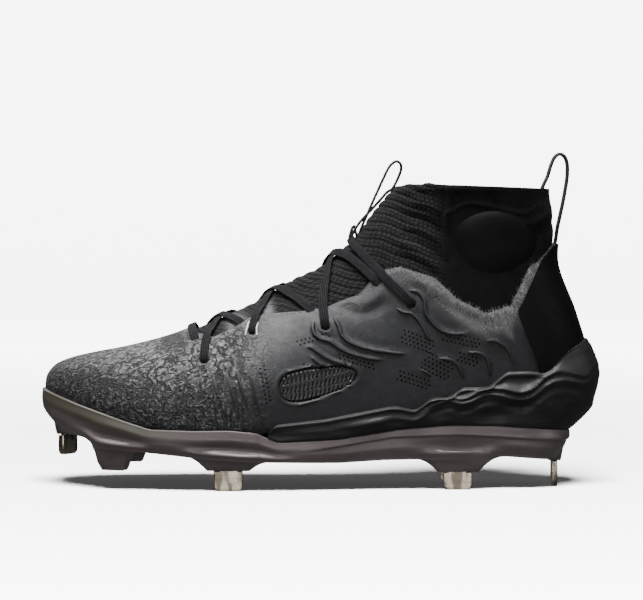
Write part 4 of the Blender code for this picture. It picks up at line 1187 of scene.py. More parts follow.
class Last:
    """The last's surface, asked by rays."""

    def __init__(self):
        us = row_numbers(0, len(SECTIONS) - 1, LAST_STEP)
        angles = even_angles(us, AROUND_LAST)
        self.tree = self.grow(form_points(us, angles))

    def grow(self, points):
        rows, columns, _ = points.shape
        flat = [Vector(p) for p in points.reshape(-1, 3)]
        faces = []
        for i in range(rows - 1):
            for j in range(columns):
                k = (j + 1) % columns
                faces.append((i * columns + j, i * columns + k, (i + 1) * columns + k, (i + 1) * columns + j))
        return BVHTree.FromPolygons(flat, faces)

    def hit(self, origin, direction):
        """Where a ray from inside meets the last, and the normal away from its start."""
        place, normal, _, _ = self.tree.ray_cast(origin, direction)
        if place is None:
            return None, None
        if normal.dot(direction) < 0:
            normal = -normal
        return place, normal

    def side(self, x, z, side):
        """The last's surface at x, z of the side view: side is 1 for outer, -1 for inner."""
        return self.hit(Vector((x, -0.02 * BALL_WIDTH, z)), Vector((0, side, 0)))

    def heel_x(self, z):
        return self.hit(Vector((-0.25 * LENGTH, 0, z)), Vector((-1, 0, 0)))[0].x


def eyelet_distance(points, last):
    """Distance of points from the nearest eyelet's axis."""
    nearest = np.full(len(points), 1.0)
    for x, z in EYELETS:
        for side in (1, -1):
            place, normal = last.side(x * LENGTH, z * COLLAR_HEIGHT, side)
            away = points - np.array(place)
            axis = np.array(normal)
            down = away @ axis
            across = np.linalg.norm(away - down[:, None] * axis, axis=1)
            across = np.where(np.abs(down) < 8 * MM, across, 1.0)
            nearest = np.minimum(nearest, across)
    return nearest


def vent_shape(x, z):
    """1 at the vent's rim and less inside it, for x and z in side-view millimetres."""
    turn = math.radians(VENT["tilt"])
    dx = x - VENT["x"]
    dz = z - VENT["z"]
    along = dx * math.cos(turn) - dz * math.sin(turn)
    across = dx * math.sin(turn) + dz * math.cos(turn)
    taper = np.clip(1 + VENT_TAPER * along / VENT["half_length"], 0.5, 1.5)
    height = VENT["half_height"] * taper
    return (np.abs(along) / VENT["half_length"]) ** VENT_ENDS + (np.abs(across) / height) ** VENT_SIDES


def skin_relief(points, last):
    """Height of the upper's relief in millimetres."""
    x = points[:, 0] / MM
    z = points[:, 2] / MM
    height = bead_relief(x, z, SKIN_BEADS)
    height += bead_relief(x, z, SKIN_FOLDS, trough=0.0)
    ring = eyelet_distance(points, last) / MM
    height += 0.55 * bell(ring, 3.6, 1.0)
    field = vent_shape(x, z)
    height += 0.5 * bell(field, 1.22, 0.14) - 1.45 * smooth_step(field, 1.08, 0.90)
    edge = points[:, 2] - line(SKIN_EDGE, points[:, 0])
    return height - 0.45 * bell(edge, 0.0, 1.6 * MM)


def behind_throat(x):
    """1 along the skin's upper edge, fading out at the throat and at the heel."""
    return smooth_step(x, 2, -8) * smooth_step(x, -148, -138)


def skin_grey_and_shade(places):
    """How light a grey the skin has at each place, from 0 to 1: its own two-tone grey with painted shade in
    it.
    """
    x, z = places[:, 0] / MM, places[:, 2] / MM
    edge = line(SKIN_EDGE, places[:, 0]) / MM - z
    behind = behind_throat(x)
    reach = 5.0 + 5.0 * smooth_step(x, -62, -80)
    brushed = 0.48 * bell(edge, 0.8 * reach, 0.55 * reach) * behind * smooth_step(x, -50, -66)
    faded = 1 - 0.9 * bell(edge, 0.0, 3.0) * behind
    return np.clip((blobs(x, z, SKIN_GREY_AND_SHADE) + brushed * smooth_step(z, 128, 118) + 0.05) * faded, 0, 1)


def make_upper(last, finish):
    """The moulded skin: embossed in front, with beads, folds and the vent's hollow on its sides."""
    sheet = Sheet(0, UPPER_LAST_SECTION, SKIN_STEP, AROUND_SKIN)
    flat = sheet.points.reshape(-1, 3)
    relief = skin_relief(flat, last).reshape(sheet.points.shape[:2])
    sheet.lift(relief * MM)
    bm = sheet.mesh()
    trim(bm, lambda p: line(SKIN_EDGE, p[:, 0]) - p[:, 2])
    trim(bm, lambda p: p[:, 2] - seat_level(p[:, 0]) - GAP)
    trim(bm, lambda p: eyelet_distance(p, last) - EYELET_RADIUS)
    outside = thicken(bm, UPPER_WALL)
    upper = add_piece("upper_skin", bm, finish, angle=60)
    thin_lining(upper, outside)
    shade_skin(upper)
    stretch_toe(upper)
    settle(upper, "upper", slot="moulded_skin")
    return upper


def shade_skin(upper):
    """Writes the skin's grey with its painted shade, where it is fuzzy, embossed and glossy, and where its
    emboss stands upright.
    """
    p = places_of(upper)
    x, z = p[:, 0] / MM, p[:, 2] / MM
    edge = (line(SKIN_EDGE, p[:, 0]) - p[:, 2]) / MM
    behind = behind_throat(x)
    front = smooth_step(x, -8, 2) * smooth_step(x, 80, 70)
    long_nap = smooth_step(x, -48, -66)
    fuzz = bell(edge, 5.0, 4.5) * behind * (0.25 + 0.75 * long_nap) + 0.6 * bell(edge, 0.0, 2.0) * front
    emboss = smooth_step(x, 34, 52) + 0.35 * smooth_step(x, 20, 40) * smooth_step(x, 60, 40)
    write_values(upper, "fuzz", fuzz)
    write_values(upper, "light", skin_grey_and_shade(p))
    write_values(upper, "emboss", np.clip(emboss, 0, 1))
    write_values(upper, "upright", bell(x, 45, 16) * smooth_step(z, 84, 66))
    write_values(upper, "vent", smooth_step(vent_shape(x, z), 1.02, 0.92))


def throat_rise(x, y):
    """Millimetres by which tongue and laces stand higher near the crest, or lower under the top bar."""
    crest = smooth_step(np.abs(y), 16 * MM, 5 * MM)
    return crest * (3.0 * bell(x, 13 * MM, 14 * MM) - 2.0 * bell(x, -17 * MM, 8 * MM))


def knit_phase(x, z):
    """Counts the puffed rows of the front knit, which slope and waver."""
    warp = 0.35 * np.sin(x * 0.31 + z * 0.11) + 0.25 * np.sin(x * 0.17 - z * 0.23)
    slope = KNIT_SLOPE * (1 - 0.4 * smooth_step(x, -40, -20))
    return (z - slope * (x + 40)) / KNIT_PITCH + 0.25 * warp


def knit_relief(points):
    """Height of the collar's relief in millimetres."""
    x = points[:, 0] / MM
    z = points[:, 2] / MM
    puff = np.abs(np.sin(math.pi * knit_phase(x, z))) ** 0.7
    height = KNIT_PUFF * (puff - 0.6) * smooth_step(x, -66, -52) * smooth_step(z, 92, 104)
    height += bead_relief(x, z, KNIT_FOLDS, trough=0.0)
    distance, _, _, _ = path_distance(x, z, rounded_path(KNIT_SEAM, 6))
    height += 0.7 * bell(distance, 0.0, 1.5) - 0.5 * bell(distance, 2.6, 1.0)
    height += bead_relief(x, z, [(0.7, 0.8, PIPING)], trough=0.4)
    height += 0.5 * bell(z, KNIT_HEM, 1.4)
    return height + throat_rise(points[:, 0], points[:, 1])


def make_collar(finish):
    """The knit sleeve, which runs down inside the skin and forward as the tongue."""
    sheet = Sheet(COLLAR_FIRST_SECTION, len(SECTIONS) - 1, KNIT_STEP, AROUND_KNIT)
    depth = UPPER_WALL + TUCK_GAP
    flat = sheet.points.reshape(-1, 3)
    above = flat[:, 2] - line(SKIN_EDGE, flat[:, 0])
    relief = knit_relief(flat) * smooth_step(above, -2 * MM, 3 * MM)
    sheet.lift(relief.reshape(sheet.points.shape[:2]) * MM - depth)
    bm = sheet.mesh()
    trim(bm, lambda p: p[:, 2] - line(SKIN_EDGE, p[:, 0]) + TUCK_DEPTH)
    outside = thicken(bm, KNIT_WALL)
    collar = add_piece("knit_collar", bm, finish, angle=60)
    thin_lining(collar, outside)
    p = places_of(collar)
    x, z = p[:, 0] / MM, p[:, 2] / MM
    write_values(collar, "ribbed", smooth_step(x, -70, -56))
    write_values(collar, "pale", np.clip(blobs(x, z, KNIT_PALE), 0, 1) * 0.8)
    flat_map(collar, arc_lengths(sheet.points, p) / MM, knit_phase(x, z) * KNIT_PITCH)
    settle(collar, "collar", slot="knit")


def arc_lengths(grid, places):
    """The length around the form at each place, read from the nearest point of its grid."""
    steps = np.linalg.norm(np.diff(grid, axis=1), axis=2)
    along = np.concatenate([np.zeros((len(grid), 1)), np.cumsum(steps, axis=1)], axis=1).ravel()
    tree = KDTree(len(along))
    for i, point in enumerate(grid.reshape(-1, 3)):
        tree.insert(point, i)
    tree.balance()
    return np.array([along[tree.find(point)[1]] for point in places])


def flat_map(obj, u, v):
    """A flat map in millimetres from one pair of numbers for every point."""
    mesh = obj.data
    corners = np.empty(len(mesh.loops), dtype=np.int32)
    mesh.loops.foreach_get("vertex_index", corners)
    layer = mesh.uv_layers.new(name="flat")
    layer.data.foreach_set("uv", np.stack([u[corners], v[corners]], axis=-1).astype(np.float32).ravel())


def make_heel_panel(finish):
    """The thin film on the heel, between the foam and the skin's edge."""
    sheet = Sheet(HEEL_PANEL_FIRST_SECTION, UPPER_LAST_SECTION, PANEL_STEP, AROUND_PANEL)
    sheet.lift(np.full(sheet.points.shape[:2], PANEL_GAP + PANEL_WALL))
    bm = sheet.mesh()
    edge = np.array(HEEL_PANEL_EDGE)
    trim(bm, lambda p: np.interp(p[:, 2], edge[:, 0] * COLLAR_HEIGHT, edge[:, 1] * LENGTH) - p[:, 0])
    trim(bm, lambda p: p[:, 2] - line(WAVE_TOP, p[:, 0]) + 2.5 * MM)
    trim(bm, lambda p: line(SKIN_EDGE, p[:, 0]) - p[:, 2] - 2 * GAP)
    thicken(bm, PANEL_WALL)
    panel = add_piece("heel_film_panel", bm, finish, angle=60)
    settle(panel, "heel_panel", slot="heel_film")


def pad_height(share, angle):
    """How far the pad's dome stands up, share of the way from its middle to its rim: steep along its top."""
    steep = 2.2 + 3.6 * float(smooth_step(math.sin(angle - 0.5), -0.9, 0.9))
    return PAD_RISE * (0.75 * (1 - share**steep) + 0.04)


def pad_sink(share, angle):
    """How far the pad's lower rim sinks into the knit."""
    return PAD_SINK * float(smooth_step(math.sin(angle - 0.35), 0.3, -0.8)) * share**2


def make_ankle_pad(last, name, node, side, finish):
    """A stuffed oval: steep along its top, fading into the knit below."""
    bm = bmesh.new()
    around = AROUND_PAD
    rows = [[], []]
    for i in range(PAD_RINGS + 1):
        share = i / PAD_RINGS
        for row, dome in zip(rows, (False, True)):
            ring = []
            for j in range(around if i else 1):
                angle = 2 * math.pi * j / around
                x = (ANKLE_PAD["x"] + ANKLE_PAD["half_length"] * share * math.cos(angle)) * LENGTH
                z = (ANKLE_PAD["z"] + ANKLE_PAD["half_height"] * share * math.sin(angle)) * COLLAR_HEIGHT
                place, normal = last.side(x, z, side)
                rise = (pad_height(share, angle) if dome else 0.0) - PAD_SEAT - pad_sink(share, angle)
                ring.append(bm.verts.new(place + normal * rise))
            row.append(ring)
    for row in rows:
        for j in range(around):
            k = (j + 1) % around
            bm.faces.new((row[0][0], row[1][j], row[1][k]))
            for inner, outer in zip(row[1:], row[2:]):
                bm.faces.new((inner[j], outer[j], outer[k], inner[k]))
    for j in range(around):
        k = (j + 1) % around
        bm.faces.new((rows[0][-1][j], rows[0][-1][k], rows[1][-1][k], rows[1][-1][j]))
    pad = add_piece(name, bm, finish)
    settle(pad, node, slot="padding")


def stations(fan, rear_steps, front_steps):
    """Rays of one side, from the heel forward: where each starts on the middle line, and its angle."""
    quarter = math.pi / 2
    rays = [(HEEL_CENTRE * LENGTH, math.pi - (i + 0.5) * quarter / fan) for i in range(fan)]
    for i in range(rear_steps + 1):
        share = i / rear_steps
        rays.append(((HEEL_CENTRE + (MIDSOLE_FRONT - HEEL_CENTRE) * share) * LENGTH, quarter))
    if not front_steps:
        return rays
    for i in range(1, front_steps + 1):
        share = i / front_steps
        rays.append(((MIDSOLE_FRONT + (TOE_CENTRE - MIDSOLE_FRONT) * share) * LENGTH, quarter))
    rays += [(TOE_CENTRE * LENGTH, quarter - (i + 0.5) * quarter / fan) for i in range(fan)]
    return rays


def middle_y(x):
    """The sole's middle line, which bends inward to the toe."""
    return float(np.interp(x, (0.0, 0.4 * LENGTH), (0.0, -0.06 * BALL_WIDTH)))


def backward(way):
    """1 for a ray that points straight back from the heel, and 0 for one to the side."""
    return max(-way.x, 0.0) ** 2


class Outline:
    """The upper's foot line seen from above, as rays that the sole's loops follow."""

    def __init__(self, last, rays):
        self.last = last
        self.rays = []
        both = [(x, a) for x, a in rays] + [(x, -a) for x, a in reversed(rays)]
        for x, angle in both:
            start = Vector((x, middle_y(x), 0))
            way = Vector((math.cos(angle), math.sin(angle), 0))
            place = start
            for _ in range(3):
                level = float(seat_level(place.x)) + 1.0 * MM
                found, _ = last.hit(Vector((start.x, start.y, level)), way)
                place = found
            self.rays.append((start, way, place))

    def loop(self, out, height):
        """Points that stand out from the foot line by out(x, way), at height(x)."""
        points = []
        for _, way, place in self.rays:
            foot = Vector((place.x, place.y, 0)) + way * out(place.x, way)
            points.append(Vector((foot.x, foot.y, height(place.x))))
        return points

    def wall(self, out, height):
        """The same, but out from the upper's own surface at each point's height."""
        points = []
        for start, way, place in self.rays:
            level = height(place.x)
            found, _ = self.last.hit(Vector((start.x, start.y, level)), way)
            foot = (found or place) + way * out(place.x, way)
            points.append(Vector((foot.x, foot.y, level)))
        return points


def loops_body(loops):
    """A closed body from loops of equal count, its first and last loop closed by rungs across."""
    bm = bmesh.new()
    rows = [[bm.verts.new(p) for p in points] for points in loops]
    count = len(rows[0])
    for low, high in zip(rows, rows[1:]):
        bridge(bm, low, high)
    for row in (rows[0], rows[-1]):
        for j in range(count // 2 - 1):
            bm.faces.new((row[j], row[j + 1], row[count - 2 - j], row[count - 1 - j]))
    return bm


def foam_relief(x, z, top, swell):
    """Millimetres by which the foam's ridges, hollows and dimples move its side out at x, z."""
    second_ridge = soft(SECOND_RIDGE, 1.6 * MM, MM, MM)
    second = second_ridge(x)
    third = soft(THIRD_RIDGE, 1.6 * MM, MM, MM)(x)
    edge = top(x)
    slope = (second_ridge(x + MM) - second) / MM
    lean = 1 / np.sqrt(1 + slope**2)
    apart = (edge - second) / MM
    room = np.clip(apart / 12, 0, 1)
    below = smooth_step(x / MM, -48, -66)
    height = 1.1 * bell(z, edge - 1.2 * MM, 1.3 * MM)
    height += 1.35 * below * bell((z - second) * lean, 0, 1.15 * MM)
    height += 1.0 * below * bell((z - third) * lean, 0, 1.0 * MM)
    height -= 0.5 * below * bell(z, (second + third) / 2, 0.8 * MM)
    height -= 1.8 * room * bell(z, (edge + second) / 2, np.maximum(apart, 2) * 0.30 * MM)
    height -= 0.9 * bell(z, edge - 4.2 * MM, 1.6 * MM) * (1 - below) * swell
    height -= 1.1 * below * bell(z, third - 4.0 * MM, 2.0 * MM)
    for dx, dz, rx, rz, depth in DIMPLES:
        height -= depth * bell(x, dx * MM, rx * MM) * bell(z, dz * MM, rz * MM)
    return height * (0.15 + 0.85 * smooth_step(x / MM, -146, -136))


def make_midsole(last, finish):
    """The foam wall: a top ridge, two more that wave across it, hollows between and a dimpled side."""
    outline = Outline(last, stations(*MIDSOLE_RAYS))
    top = soft(WAVE_TOP, 1.6 * MM)
    bed = soft(FOOT_BED, 3.0 * MM)
    plate = soft(PLATE_TOP, 2.0 * MM)

    def floor(x):
        return plate(x) + GAP

    def swell(x):
        return np.clip((MIDSOLE_FRONT - x / LENGTH) / 0.2, 0.0, 1.0)

    def out_at(x, way, t):
        """How far the plain wall stands out, t being the share of the way from top edge to plate."""
        lip = WALL_GAP + (WALL_LIP - WALL_GAP) * smooth_step(t, 0.0, 0.10)
        bulge = (WALL_BULGE - WALL_LIP) * swell(x) * smooth_step(t, 0.05, 0.55)
        heel = HEEL_BULGE * backward(way) * smooth_step(t, 0.05, 0.40)
        heel += HEEL_SHELF * backward(way) * smooth_step(t, 0.0, 0.02) * smooth_step(t, 0.40, 0.10)
        full = lip + bulge + heel
        foot = PLATE_RIM - (HEEL_TUCK + PLATE_RIM) * backward(way)
        late = 0.55 + 0.19 * backward(way)
        return float(full + (foot - full) * max(0.0, (t - late) / (1 - late)) ** 1.4)

    def plain_row(t):
        """The wall's points at share t of the way down, before relief."""

        def out(x, way):
            return out_at(x, way, t)

        def level(x):
            return top(x) + (floor(x) - top(x)) * t

        blend = float(smooth_step(t, 0.30, 0.95))
        return [a.lerp(b, blend) for a, b in zip(outline.wall(out, level), outline.loop(out, level))]

    loops = [
        outline.loop(lambda x, w: -BED_INSET, bed),
        outline.wall(lambda x, w: WALL_GAP + WALL_FOOT, bed),
        outline.wall(lambda x, w: WALL_GAP + 0.5 * WALL_FOOT, lambda x: (bed(x) + top(x)) / 2),
        outline.wall(lambda x, w: WALL_GAP, top),
    ]
    for i in range(WALL_STEPS + 1):
        t = (i / WALL_STEPS) ** 1.15
        row = plain_row(t)
        xs = np.array([p.x for p in row])
        zs = np.array([p.z for p in row])
        swells = swell(xs)
        relief = foam_relief(xs, zs, top, swells) * (0.25 + 0.75 * swells)
        relief *= (0.35 + 0.65 * smooth_step(t, 0.0, 0.03)) * smooth_step(t, 1.0, 0.9)
        for (_, way, _), point, rise in zip(outline.rays, row, relief):
            point += way * float(rise) * MM
        loops.append(row)
    midsole = add_piece("foam_midsole", loops_body(loops), finish, angle=50)
    settle(midsole, "midsole", slot="foam")


def make_insole(last, finish):
    """The insole, lying in the foam's bed and the plate's cup."""
    outline = Outline(last, stations(*INSOLE_RAYS))
    bed = soft(FOOT_BED, 3.0 * MM)
    loops = []
    for inset, rise in (
        (BED_INSET + 2 * GAP, GAP),
        (CUP_INSET + 2.2 * MM, 0.45 * INSOLE_THICKNESS),
        (CUP_INSET + 1.5 * MM, 0.8 * INSOLE_THICKNESS),
        (CUP_INSET + 1.7 * MM, INSOLE_THICKNESS),
        (BED_INSET, INSOLE_THICKNESS + GAP),
        (BED_INSET + 6 * MM, INSOLE_THICKNESS),
    ):
        loops.append(outline.loop(lambda x, w: -inset, lambda x: bed(x) + rise))
    insole = add_piece("insole_board", loops_body(loops), finish, angle=50)
    settle(insole, "insole", slot="insole_foam")


def lug_drop(x, y, ceiling):
    """How far the lugs pull the plate's underside down at x, y, from the given ceiling."""
    drop = np.zeros_like(x)
    for _, lx, ly, turn, top_length, top_width, foot_length, foot_width, foot_z in LUGS:
        spin = math.radians(turn)
        dx = x - lx * LENGTH
        dy = y - ly * BALL_WIDTH
        along = dx * math.cos(spin) + dy * math.sin(spin)
        across = -dx * math.sin(spin) + dy * math.cos(spin)
        foot_a = foot_length * LENGTH / 2
        foot_b = foot_width * BALL_WIDTH / 2
        flare_a = max(top_length * LENGTH / 2 - foot_a, 2 * MM) * 1.2
        flare_b = max(top_width * BALL_WIDTH / 2 - foot_b, 2 * MM) * 1.1
        out_a = np.maximum(np.abs(along) - foot_a, 0) / flare_a
        out_b = np.maximum(np.abs(across) - foot_b, 0) / flare_b
        away = np.clip((out_a**2.0 + out_b**2.0) ** 0.5, 0, 1)
        shape = (1 - away) ** 2.1
        drop = np.maximum(drop, shape * np.maximum(ceiling - foot_z * COLLAR_HEIGHT, 0))
    return drop


def pull_lugs(rows):
    """Pulls the lugs down out of the plate's rows, less on its side than on its underside."""
    for number, row in enumerate(rows, 1):
        share = min(number / PLATE_SIDE_STEPS, 1.0)
        xs, ys, zs = np.array([tuple(p) for p in row]).T
        drop = lug_drop(xs, ys, zs) * smooth_step(share, 0.25, 1.0)
        for p, d in zip(row, drop):
            p.z -= float(d)


def cut_sockets(plate, finish):
    """Cuts the holes for the blades' shanks."""
    sockets = bmesh.new()
    for _, lug_name, _ in BLADES:
        add_box(sockets, SHANK_WIDTH / 2 + GAP, BLADE_THICKNESS / 2 + GAP, -2 * MM, SHANK_DEPTH + GAP,
                blade_place(lug_name))
    cut(plate, add_piece("sockets", sockets, finish))
    plate.data.shade_smooth()
    plate.data.set_sharp_from_angle(angle=math.radians(PLATE_SHARP_ANGLE))


def shade_plate(plate, ridge):
    """Writes where the plate is olive, along its rim in front, and where it is painted darker: painted shade
    under the band's step and towards its bottom, and a darker upper band in front.
    """
    p = places_of(plate)
    x, z = p[:, 0] / MM, p[:, 2] / MM
    rim_z = line(PLATE_TOP, p[:, 0]) / MM
    band = 2.2 + 6.0 * smooth_step(x, 60, 130)
    olive = smooth_step(rim_z - z, band + 1.2, band - 1.2) * smooth_step(x, 62, 96)
    front = smooth_step(x, 15, 45) * smooth_step(x, 125, 105)
    # Painted shade: a dark line under the band's step and darker towards the bottom edge; the upper band in
    # front is darker too.
    fold = 0.4 * bell(z, ridge(p[:, 0]) / MM - 1.2, 0.8) * smooth_step(x, 0, -20)
    plate_shade = smooth_step(z, 14, 8) * 0.15 + fold + 0.42 * front * smooth_step(z, 16, 22)
    write_values(plate, "olive", np.clip(olive, 0, 1))
    write_values(plate, "plate_shade", np.clip(plate_shade, 0, 1))


def make_outsole(last, finish):
    """The moulded plate: cup, band, side with shelves over its lugs, and the underside that makes them."""
    outline = Outline(last, stations(*PLATE_RAYS))
    rim = soft(PLATE_TOP, 2.0 * MM)
    bed = soft(FOOT_BED, 2.0 * MM)
    under = soft(PLATE_UNDER, 3.0 * MM)

    def cup(x):
        return min(bed(x), rim(x)) if x > MIDSOLE_FRONT * LENGTH else rim(x)

    def heel(way):
        return (HEEL_TUCK + PLATE_RIM) * backward(way)

    loops = [
        outline.loop(lambda x, w: -BED_INSET - heel(w), cup),
        outline.loop(lambda x, w: -CUP_INSET - heel(w), rim),
        outline.loop(lambda x, w: PLATE_RIM - 0.5 * MM - heel(w), rim),
        outline.loop(lambda x, w: PLATE_RIM - heel(w), lambda x: rim(x) - RIM_ROUND),
    ]
    before = len(loops)
    ridge = soft(PLATE_RIDGE, 3.0 * MM, MM, MM)

    def out_at(x, way, t):
        """How far the side stands out, t being the share of the way from the rim to the underside."""
        level = rim(x) + (under(x) - rim(x)) * t
        band = PLATE_RIM + (PLATE_BULGE - PLATE_RIM) * smooth_step(t, 0.0, 0.3)
        step = BAND_STEP * smooth_step(ridge(x) - level, 0.0, 0.9 * MM) * smooth_step(x / MM, 12, -12)
        shelf = sum(bell(x, place * MM, reach * MM) for place, reach in SHELVES)
        hollow = (SHELF_HOLLOW * bell(t, 0.58, 0.15) - SHELF_LIP * bell(t, 0.82, 0.10)) * shelf
        foot = FOOT_TUCK * smooth_step(t, 0.55, 1.0) * (1 - 0.6 * min(shelf, 1.0))
        tuck = max(way.x, 0.0) ** 3 * (1.8 * t + 3.5 * smooth_step(t, 0.7, 1.0)) * MM
        return float(band - step - hollow - foot - tuck - (1.0 + 0.5 * t) * heel(way))

    def side_level(x, t):
        top = rim(x) - RIM_ROUND
        return top + (under(x) - top) * t

    for i in range(1, PLATE_SIDE_STEPS + 1):
        t = i / PLATE_SIDE_STEPS
        loops.append(outline.loop(lambda x, w: out_at(x, w, t), lambda x: side_level(x, t)))
    edges = loops[-1]
    for i in range(1, PLATE_UNDER_STEPS + 1):
        t = i / PLATE_UNDER_STEPS
        rise = 0.8 * MM * math.sin(math.pi * min(t * 1.2, 1))
        row = []
        for (start, _, _), edge in zip(outline.rays, edges):
            flat = Vector((edge.x, edge.y, 0)).lerp(Vector((start.x, start.y, 0)), t * 0.97)
            row.append(Vector((flat.x, flat.y, under(flat.x) + rise)))
        loops.append(row)
    pull_lugs(loops[before:])
    plate = add_piece("moulded_plate", loops_body(loops), finish)
    cut_sockets(plate, finish)
    shade_plate(plate, ridge)
    stretch_toe(plate)
    settle(plate, "outsole", slot="plate_plastic")


def blade_place(lug_name):
    """Where a blade stands: at the foot of its lug, turned with it."""
    row = next(r for r in LUGS if r[0] == lug_name)
    _, x, y, turn, *_, foot_z = row
    spot = Vector((x * LENGTH, y * BALL_WIDTH, foot_z * COLLAR_HEIGHT))
    return Matrix.Translation(spot) @ Matrix.Rotation(math.radians(turn), 4, "Z")


def add_box(bm, half_x, half_y, low, high, matrix):
    """A closed box about the matrix's own Z axis."""
    corners = [(sx * half_x, sy * half_y) for sx, sy in ((-1, -1), (1, -1), (1, 1), (-1, 1))]
    below = [bm.verts.new(matrix @ Vector((cx, cy, low))) for cx, cy in corners]
    above = [bm.verts.new(matrix @ Vector((cx, cy, high))) for cx, cy in corners]
    bridge(bm, below, above)
    bm.faces.new(below[::-1])
    bm.faces.new(above)


def make_blade(name, lug_name, on_floor, finish):
    """A flat blade with round lower corners and a fine bevel, its shank up in the lug."""
    place = blade_place(lug_name)
    drop = place.translation.z if on_floor else BLADE_HEIGHT
    half = BLADE_WIDTH / 2
    shank = SHANK_WIDTH / 2
    top = -GAP
    outline = []
    for side in (-1, 1):
        for i in range(BLADE_CORNER_STEPS + 1):
            angle = math.pi / 2 * i / BLADE_CORNER_STEPS
            if side > 0:
                angle = math.pi / 2 - angle
            a = side * (half - BLADE_CORNER + BLADE_CORNER * math.cos(angle))
            outline.append((a, -drop + BLADE_CORNER - BLADE_CORNER * math.sin(angle)))
    outline += [(half, top), (shank, top), (shank, SHANK_DEPTH)]
    outline += [(-shank, SHANK_DEPTH), (-shank, top), (-half, top)]
    bm = bmesh.new()
    near = [bm.verts.new(place @ Vector((a, -BLADE_THICKNESS / 2, z))) for a, z in outline]
    far = [bm.verts.new(place @ Vector((a, BLADE_THICKNESS / 2, z))) for a, z in outline]
    bm.faces.new(near)
    bm.faces.new(far[::-1])
    for j in range(len(outline)):
        k = (j + 1) % len(outline)
        bm.faces.new((near[j], far[j], far[k], near[k]))
    blade = add_piece(name + "_plated", bm, finish, angle=30)
    bevel = blade.modifiers.new("bevel", "BEVEL")
    bevel.width = BLADE_BEVEL
    bevel.segments = 3
    bevel.limit_method = "ANGLE"
    bevel.angle_limit = math.radians(50)
    bake_modifiers(blade)
    stretch_toe(blade)
    settle(blade, name, slot="blade_metal")


def lace_path(last, start, finish, crest, lift, rise):
    """Points and normals over the shoe from one end to the other.

    Each end is (x, z), side, kind: it turns in through its eyelet, or slides in under the throat's edge."""
    inside = Vector((crest[0] * LENGTH, 0, crest[1] * COLLAR_HEIGHT)) - LACE_AIM * 2
    over, outward = last.hit(inside, LACE_AIM)
    centre = over - outward * LACE_ARCH
    ways = []
    for (x, z), side, kind in (start, finish):
        place, _ = last.side(x * LENGTH, z * COLLAR_HEIGHT, side)
        ways.append((place - centre).normalized())
    bend = outward * 2 - (ways[0] + ways[1]) / 2

    def over_shoe(t):
        way = ways[0] * (1 - t) ** 2 + bend * 2 * t * (1 - t) + ways[1] * t**2
        return last.hit(centre, way.normalized())

    length = sum((over_shoe(i / 20)[0] - over_shoe((i + 1) / 20)[0]).length for i in range(20))
    path = []
    first = -LACE_TUCK / length if start[2] == "tuck" else 0.0
    final = 1 + LACE_TUCK / length if finish[2] == "tuck" else 1.0
    for i in range(LACE_STEPS + 1):
        t = first + (final - first) * i / LACE_STEPS
        place, normal = over_shoe(t)
        height = lift + rise * max(0.0, 1 - abs(t - 0.5) / LACE_RISE_SHARE)
        above = place.z - float(line(SKIN_EDGE, place.x))
        height -= THROAT_SINK * float(smooth_step(above, 0.0, 5 * MM))
        height += float(throat_rise(place.x, place.y)) * MM
        for (_, _, kind), away in ((start, t * length), (finish, (1 - t) * length)):
            if kind == "tuck":
                height -= (lift + LACE_TUCK_DEPTH) * float(smooth_step(away, 6 * MM, -1 * MM))
        path.append((place + normal * height, normal))
    for end in (start, finish):
        if end[2] == "hole":
            turn_into_hole(path, end is start)
    return path


def turn_into_hole(path, at_start):
    """Adds the points by which a lace turns down into its eyelet, at one end of its path."""
    place, normal = path[0] if at_start else path[-1]
    before, _ = path[1] if at_start else path[-2]
    along = (place - before).normalized()
    for row in range(1, LACE_HOLE_STEPS + 1):
        turn = math.pi / 2 * row / LACE_HOLE_STEPS
        sunk = place + along * LACE_HOLE_REACH * math.sin(turn) - normal * LACE_HOLE_DROP * row
        leaned = (normal * math.cos(turn) + along * math.sin(turn)).normalized()
        path.insert(0 if at_start else len(path), (sunk, leaned))


def ribbon_profile(width, thickness, ribs):
    """A flat cord's section: ribs on both faces, round at its edges."""
    upper = []
    steps = ribs * 4
    for i in range(steps + 1):
        share = i / steps
        across = (share - 0.5) * width
        rib = abs(math.sin(math.pi * share * ribs))
        edge = (1 - abs(2 * share - 1) ** 6) ** 0.5
        upper.append((across, thickness / 2 * edge * (0.62 + 0.38 * rib), rib))
    lower = [(a, -h, rib) for a, h, rib in reversed(upper[1:-1])]
    return upper + lower


def make_ribbon(bm, path, width, thickness, ribs):
    """A flat cord along the path, its underside on the path's points, with its flat map."""
    layer = bm.loops.layers.uv.get("flat") or bm.loops.layers.uv.new("flat")
    ridge = bm.verts.layers.float.get("ridge") or bm.verts.layers.float.new("ridge")
    section = ribbon_profile(width, thickness, ribs)
    places = [place for place, _ in path]
    rows = []
    run = [0.0]
    for i, (place, normal) in enumerate(path):
        along = way_at(places, i)
        side = normal.cross(along).normalized()
        up = along.cross(side).normalized()
        if up.dot(normal) < 0:
            up = -up
        centre = place + up * thickness / 2
        rows.append([bm.verts.new(centre + side * a + up * h) for a, h, _ in section])
        for vert, (_, _, rib) in zip(rows[-1], section):
            vert[ridge] = rib
        if i:
            run.append(run[-1] + (place - places[i - 1]).length / MM)
    girth = [0.0]
    for (a, h, _), (b, g, _) in zip(section, section[1:] + section[:1]):
        girth.append(girth[-1] + math.hypot(b - a, g - h) / MM)
    for i in range(len(path) - 1):
        for j in range(len(section)):
            k = (j + 1) % len(section)
            face = bm.faces.new((rows[i][j], rows[i][k], rows[i + 1][k], rows[i + 1][j]))
            for loop, (r, g) in zip(face.loops, ((i, j), (i, j + 1), (i + 1, j + 1), (i + 1, j))):
                loop[layer].uv = (run[r], girth[g])
    bm.faces.new(rows[0])
    bm.faces.new(rows[-1])


